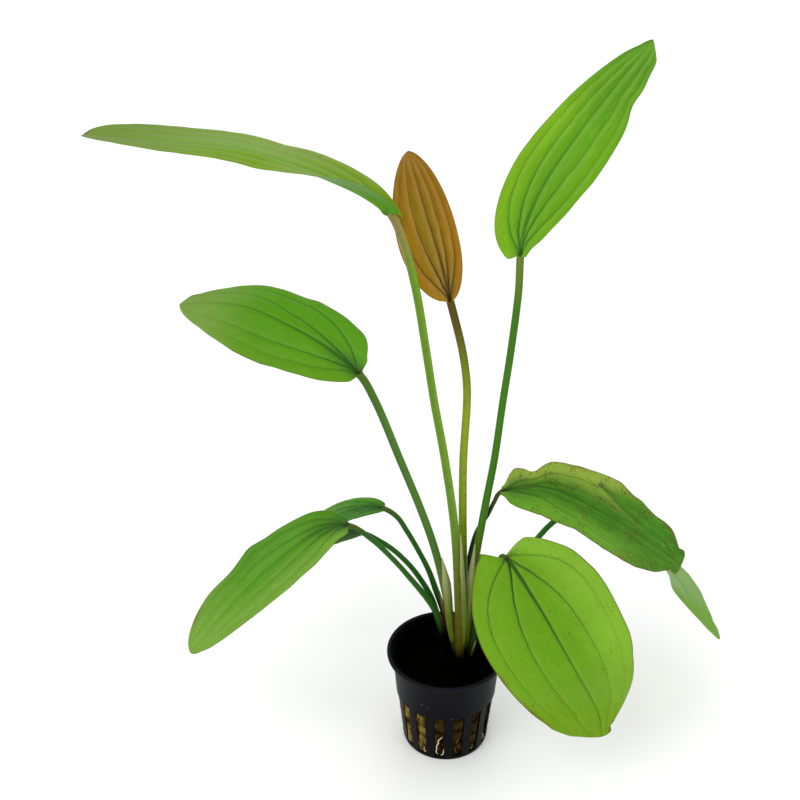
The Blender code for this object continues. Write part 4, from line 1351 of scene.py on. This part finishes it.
class PLANT_OT_wool(bpy.types.Operator):
    """Fill the pot with a rough plug of rock wool and loose fibres"""

    bl_idname = "plant.wool"
    bl_label = "Make Growing Plug"

    def execute(self, context):
        settings = context.scene.plant_wool
        bottom = POT_FLOOR + 0.4
        side = [(inner_radius(height) - PLUG_GAP, height)
                for height in np.linspace(bottom, PLUG_TOP - 1.0, 60)]
        edge = side[-1][0]
        top = [(edge * share, PLUG_TOP + PLUG_DOME * (1.0 - share**2) - 0.6 * share**8)
               for share in np.linspace(0.97, 0.04, 22)]
        profile = [(0.0, bottom)] + side + top + [(0.0, PLUG_TOP + PLUG_DOME)]
        mesh = turned("plug", profile, PLUG_SEGMENTS)
        self.roughen(mesh, context.scene.plant_pot)
        mesh = baked(new_object("plug", mesh), "rock_wool_plug", fibres_tree(), {
            "Density": settings.density, "Length": settings.length,
            "Radius": settings.radius, "Seed": settings.seed, "Material": wool_material()})
        mesh.shade_smooth()
        add_piece("rock_wool_plug", mesh, None, "rock_wool", "growing_plug")
        return {"FINISHED"}

    def roughen(self, mesh, pot):
        """Push the wool out at the slots, roughen it and note where it can be seen."""
        rng = np.random.default_rng(5)
        waves = rng.uniform(-1.0, 1.0, (40, 3)) * 900.0
        phases = rng.uniform(0.0, 2.0 * pi, 40)
        open_share = mesh.attributes.new("open", "FLOAT", "POINT")
        for vert in mesh.vertices:
            place = np.array(vert.co)
            radius, height = float(np.hypot(place[0], place[1])), place[2] / MM
            rough = float(np.mean(np.sin(waves @ place + phases)))
            if height > PLUG_TOP - 0.8:
                vert.co.z += 1.2 * rough * MM
                open_share.data[vert.index].value = TOP_WOOL_SHARE
            elif radius > 0.01:
                angle = float(np.arctan2(place[1], place[0]))
                share = slot_share(angle, height, pot.slots, pot.slot_width / MM)
                out = (1.0 * share + rough * (0.25 + 1.1 * share)) * MM
                out = min(out, (PLUG_BULGE * share + PLUG_ROUGHNESS) * MM)
                vert.co.x += place[0] / radius * out
                vert.co.y += place[1] / radius * out
                open_share.data[vert.index].value = share


class PLANT_OT_crown(bpy.types.Operator):
    """Model the knobbly rootstock that carries the leaves"""

    bl_idname = "plant.crown"
    bl_label = "Make Crown"

    def execute(self, context):
        bottom = PLUG_TOP + PLUG_DOME + 0.3
        height = CROWN_TOP - bottom
        profile = [(0.0, bottom)]
        for turn in np.linspace(-0.5 * pi, 0.5 * pi, 20)[1:-1]:
            profile.append((TURNED_RADIUS * abs(cos(turn)) ** 0.3,
                            bottom + height * (0.5 + 0.5 * sin(turn))))
        profile.append((0.0, CROWN_TOP))
        mesh = turned("rootstock", profile, CROWN_SEGMENTS)
        for vert in mesh.vertices:
            angle = np.arctan2(vert.co.y, vert.co.x)
            knob = 1.0 - 0.05 * (1.0 + sin(7.0 * angle + 300.0 * vert.co.z))
            knob -= 0.03 * (1.0 + sin(17.0 * angle - 900.0 * vert.co.z))
            for axis in (0, 1):
                vert.co[axis] *= knob * CROWN_RADII[axis] / TURNED_RADIUS
                vert.co[axis] += CROWN_CENTRE[axis] * MM
        mesh.shade_smooth()
        add_piece("rootstock", mesh, crown_material(), "rootstock", "crown")
        return {"FINISHED"}


class PLANT_OT_leaves(bpy.types.Operator):
    """Grow the ten leaves with their stalks, veins and sheaths"""

    bl_idname = "plant.leaves"
    bl_label = "Make Leaves"

    def execute(self, context):
        for leaf in LEAVES:
            mesh, length = build_leaf(leaf, context.scene.plant_leaves)
            face_outwards(mesh)
            add_piece(leaf.name + "_grown", mesh, leaf_material(leaf, length), leaf.slot,
                      leaf.name)
        return {"FINISHED"}


class PLANT_OT_roots(bpy.types.Operator):
    """Lay the pale young roots that show at the slots"""

    bl_idname = "plant.roots"
    bl_label = "Make Roots"

    def execute(self, context):
        settings = context.scene.plant_roots
        verts, edges, values = [], [], []
        slots = context.scene.plant_pot.slots
        for share, route in FRONT_ROOTS + self.back_roots(settings.seed, slots):
            points = smooth_path([self.on_wall(*point) for point in route], 4)[::4]
            edges += [(len(verts) + k, len(verts) + k + 1) for k in range(len(points) - 1)]
            verts += [tuple(point * MM) for point in points]
            values += [share] * len(points)
        mesh = bpy.data.meshes.new("root_lines")
        mesh.from_pydata(verts, edges, [])
        mesh.attributes.new("fresh", "FLOAT", "POINT").data.foreach_set("value", values)
        mesh = baked(new_object("root_lines", mesh), "young_roots", roots_tree(), {
            "Radius": settings.radius, "Crook": settings.crook, "Material": root_material()})
        add_piece("young_roots", mesh, None, "rootstock")
        return {"FINISHED"}

    def on_wall(self, degrees_from_front, height, out):
        """A point beside the pot's outer wall."""
        angle = radians(degrees_from_front - 90.0)
        radius = outer_radius(height) + out
        return radius * cos(angle), radius * sin(angle), height

    def back_roots(self, seed, slots):
        """A few roots at the slots that the front doesn't show."""
        rng = np.random.default_rng(seed)
        routes = []
        for i in range(3, slots - 2):
            middle = SLOT_TURN + i * 360.0 / slots
            top = rng.uniform(6.0, 20.0)
            lean = rng.uniform(-3.0, 3.0)
            route = [(middle - lean, top, -1.7), (middle + lean, top - 1.6, -0.5),
                     (middle + 0.5 * lean, top - 3.4, -0.3),
                     (middle - 0.4 * lean, max(2.9, top - 5.5), -1.2)]
            routes.append((rng.uniform(0.2, 1.0), route))
        return routes


class PLANT_OT_stage(bpy.types.Operator):
    """Lay the floor, hang the soft lights and set the camera"""

    bl_idname = "plant.stage"
    bl_label = "Make Stage"

    def execute(self, context):
        settings = context.scene.plant_stage
        self.make_floor(settings)
        world = bpy.data.worlds.new("studio")
        world.use_nodes = True
        background = world.node_tree.nodes["Background"]
        background.inputs["Color"].default_value = (1.0, 1.0, 1.0, 1.0)
        background.inputs["Strength"].default_value = settings.sky
        context.scene.world = world
        context.scene.view_settings.view_transform = "Standard"
        for name, place, strength in (("key_light", (-0.7, -1.0, 1.5), settings.key),
                                      ("fill_light", (1.3, -0.6, 0.9), settings.fill),
                                      ("back_light", (0.2, 1.3, 1.2), settings.fill)):
            self.add_lamp(name, place, strength)
        data = bpy.data.cameras.new("camera")
        data.lens = settings.lens
        data.sensor_width = 36.0
        data.clip_start = 0.01
        camera = new_object("camera", data)
        camera.location = CAMERA_PLACE
        camera.rotation_euler = (radians(90.0 - CAMERA_PITCH), 0.0, 0.0)
        context.scene.camera = camera
        return {"FINISHED"}

    def make_floor(self, settings):
        """A wide pale floor."""
        mesh = bpy.data.meshes.new("floor")
        corners = [(x * FLOOR_REACH, y * FLOOR_REACH, 0.0)
                   for x, y in ((-1, -1), (1, -1), (1, 1), (-1, 1))]
        mesh.from_pydata(corners, [], [(0, 1, 2, 3)])
        paint = Paint("floor")
        colour = tuple(settings.floor)
        mesh.materials.append(paint.finish(colour, 0.9, 0.1))
        shader = paint.tree.nodes["Principled BSDF"]
        shader.inputs["Emission Color"].default_value = colour
        shader.inputs["Emission Strength"].default_value = settings.glow
        new_object("floor", mesh)

    def add_lamp(self, name, place, strength):
        """A large soft lamp that looks at the plant."""
        data = bpy.data.lights.new(name, "AREA")
        data.shape = "DISK"
        data.size = LAMP_SIZE
        data.energy = strength
        lamp = new_object(name, data)
        lamp.location = place
        x, y, z = unit(np.subtract(LAMP_TARGET, place))
        lamp.rotation_euler = (float(np.arccos(-z)), 0.0, float(np.arctan2(-x, y)))


STEPS = (PLANT_OT_pot, PLANT_OT_wool, PLANT_OT_crown, PLANT_OT_leaves, PLANT_OT_roots,
         PLANT_OT_stage)
SETTINGS = {"plant_pot": PotSettings, "plant_wool": WoolSettings, "plant_leaves": LeafSettings,
            "plant_roots": RootSettings, "plant_stage": StageSettings}


class PLANT_PT_panel(bpy.types.Panel):
    """Lists the steps that make the plant, with their settings"""

    bl_idname = "PLANT_PT_panel"
    bl_label = "Potted Echinodorus"
    bl_space_type = "VIEW_3D"
    bl_region_type = "UI"
    bl_category = "Plant"

    def draw(self, context):
        for name, group in SETTINGS.items():
            box = self.layout.box()
            for key in group.__annotations__:
                box.prop(getattr(context.scene, name), key)
        for step in STEPS:
            self.layout.operator(step.bl_idname)


CLASSES = tuple(SETTINGS.values()) + STEPS + (PLANT_PT_panel,)


def register():
    for thing in CLASSES:
        bpy.utils.register_class(thing)
    for name, group in SETTINGS.items():
        setattr(bpy.types.Scene, name, PointerProperty(type=group))


def unregister():
    for name in SETTINGS:
        delattr(bpy.types.Scene, name)
    for thing in reversed(CLASSES):
        bpy.utils.unregister_class(thing)


def main():
    """Make every piece in order."""
    register()
    make_leaf_veins()
    make_lateral_vein()
    make_mottle()
    make_freckles()
    make_grain()
    bpy.ops.plant.pot()
    bpy.ops.plant.wool()
    bpy.ops.plant.crown()
    bpy.ops.plant.leaves()
    bpy.ops.plant.roots()
    bpy.ops.plant.stage()


if __name__ == "__main__":
    main()
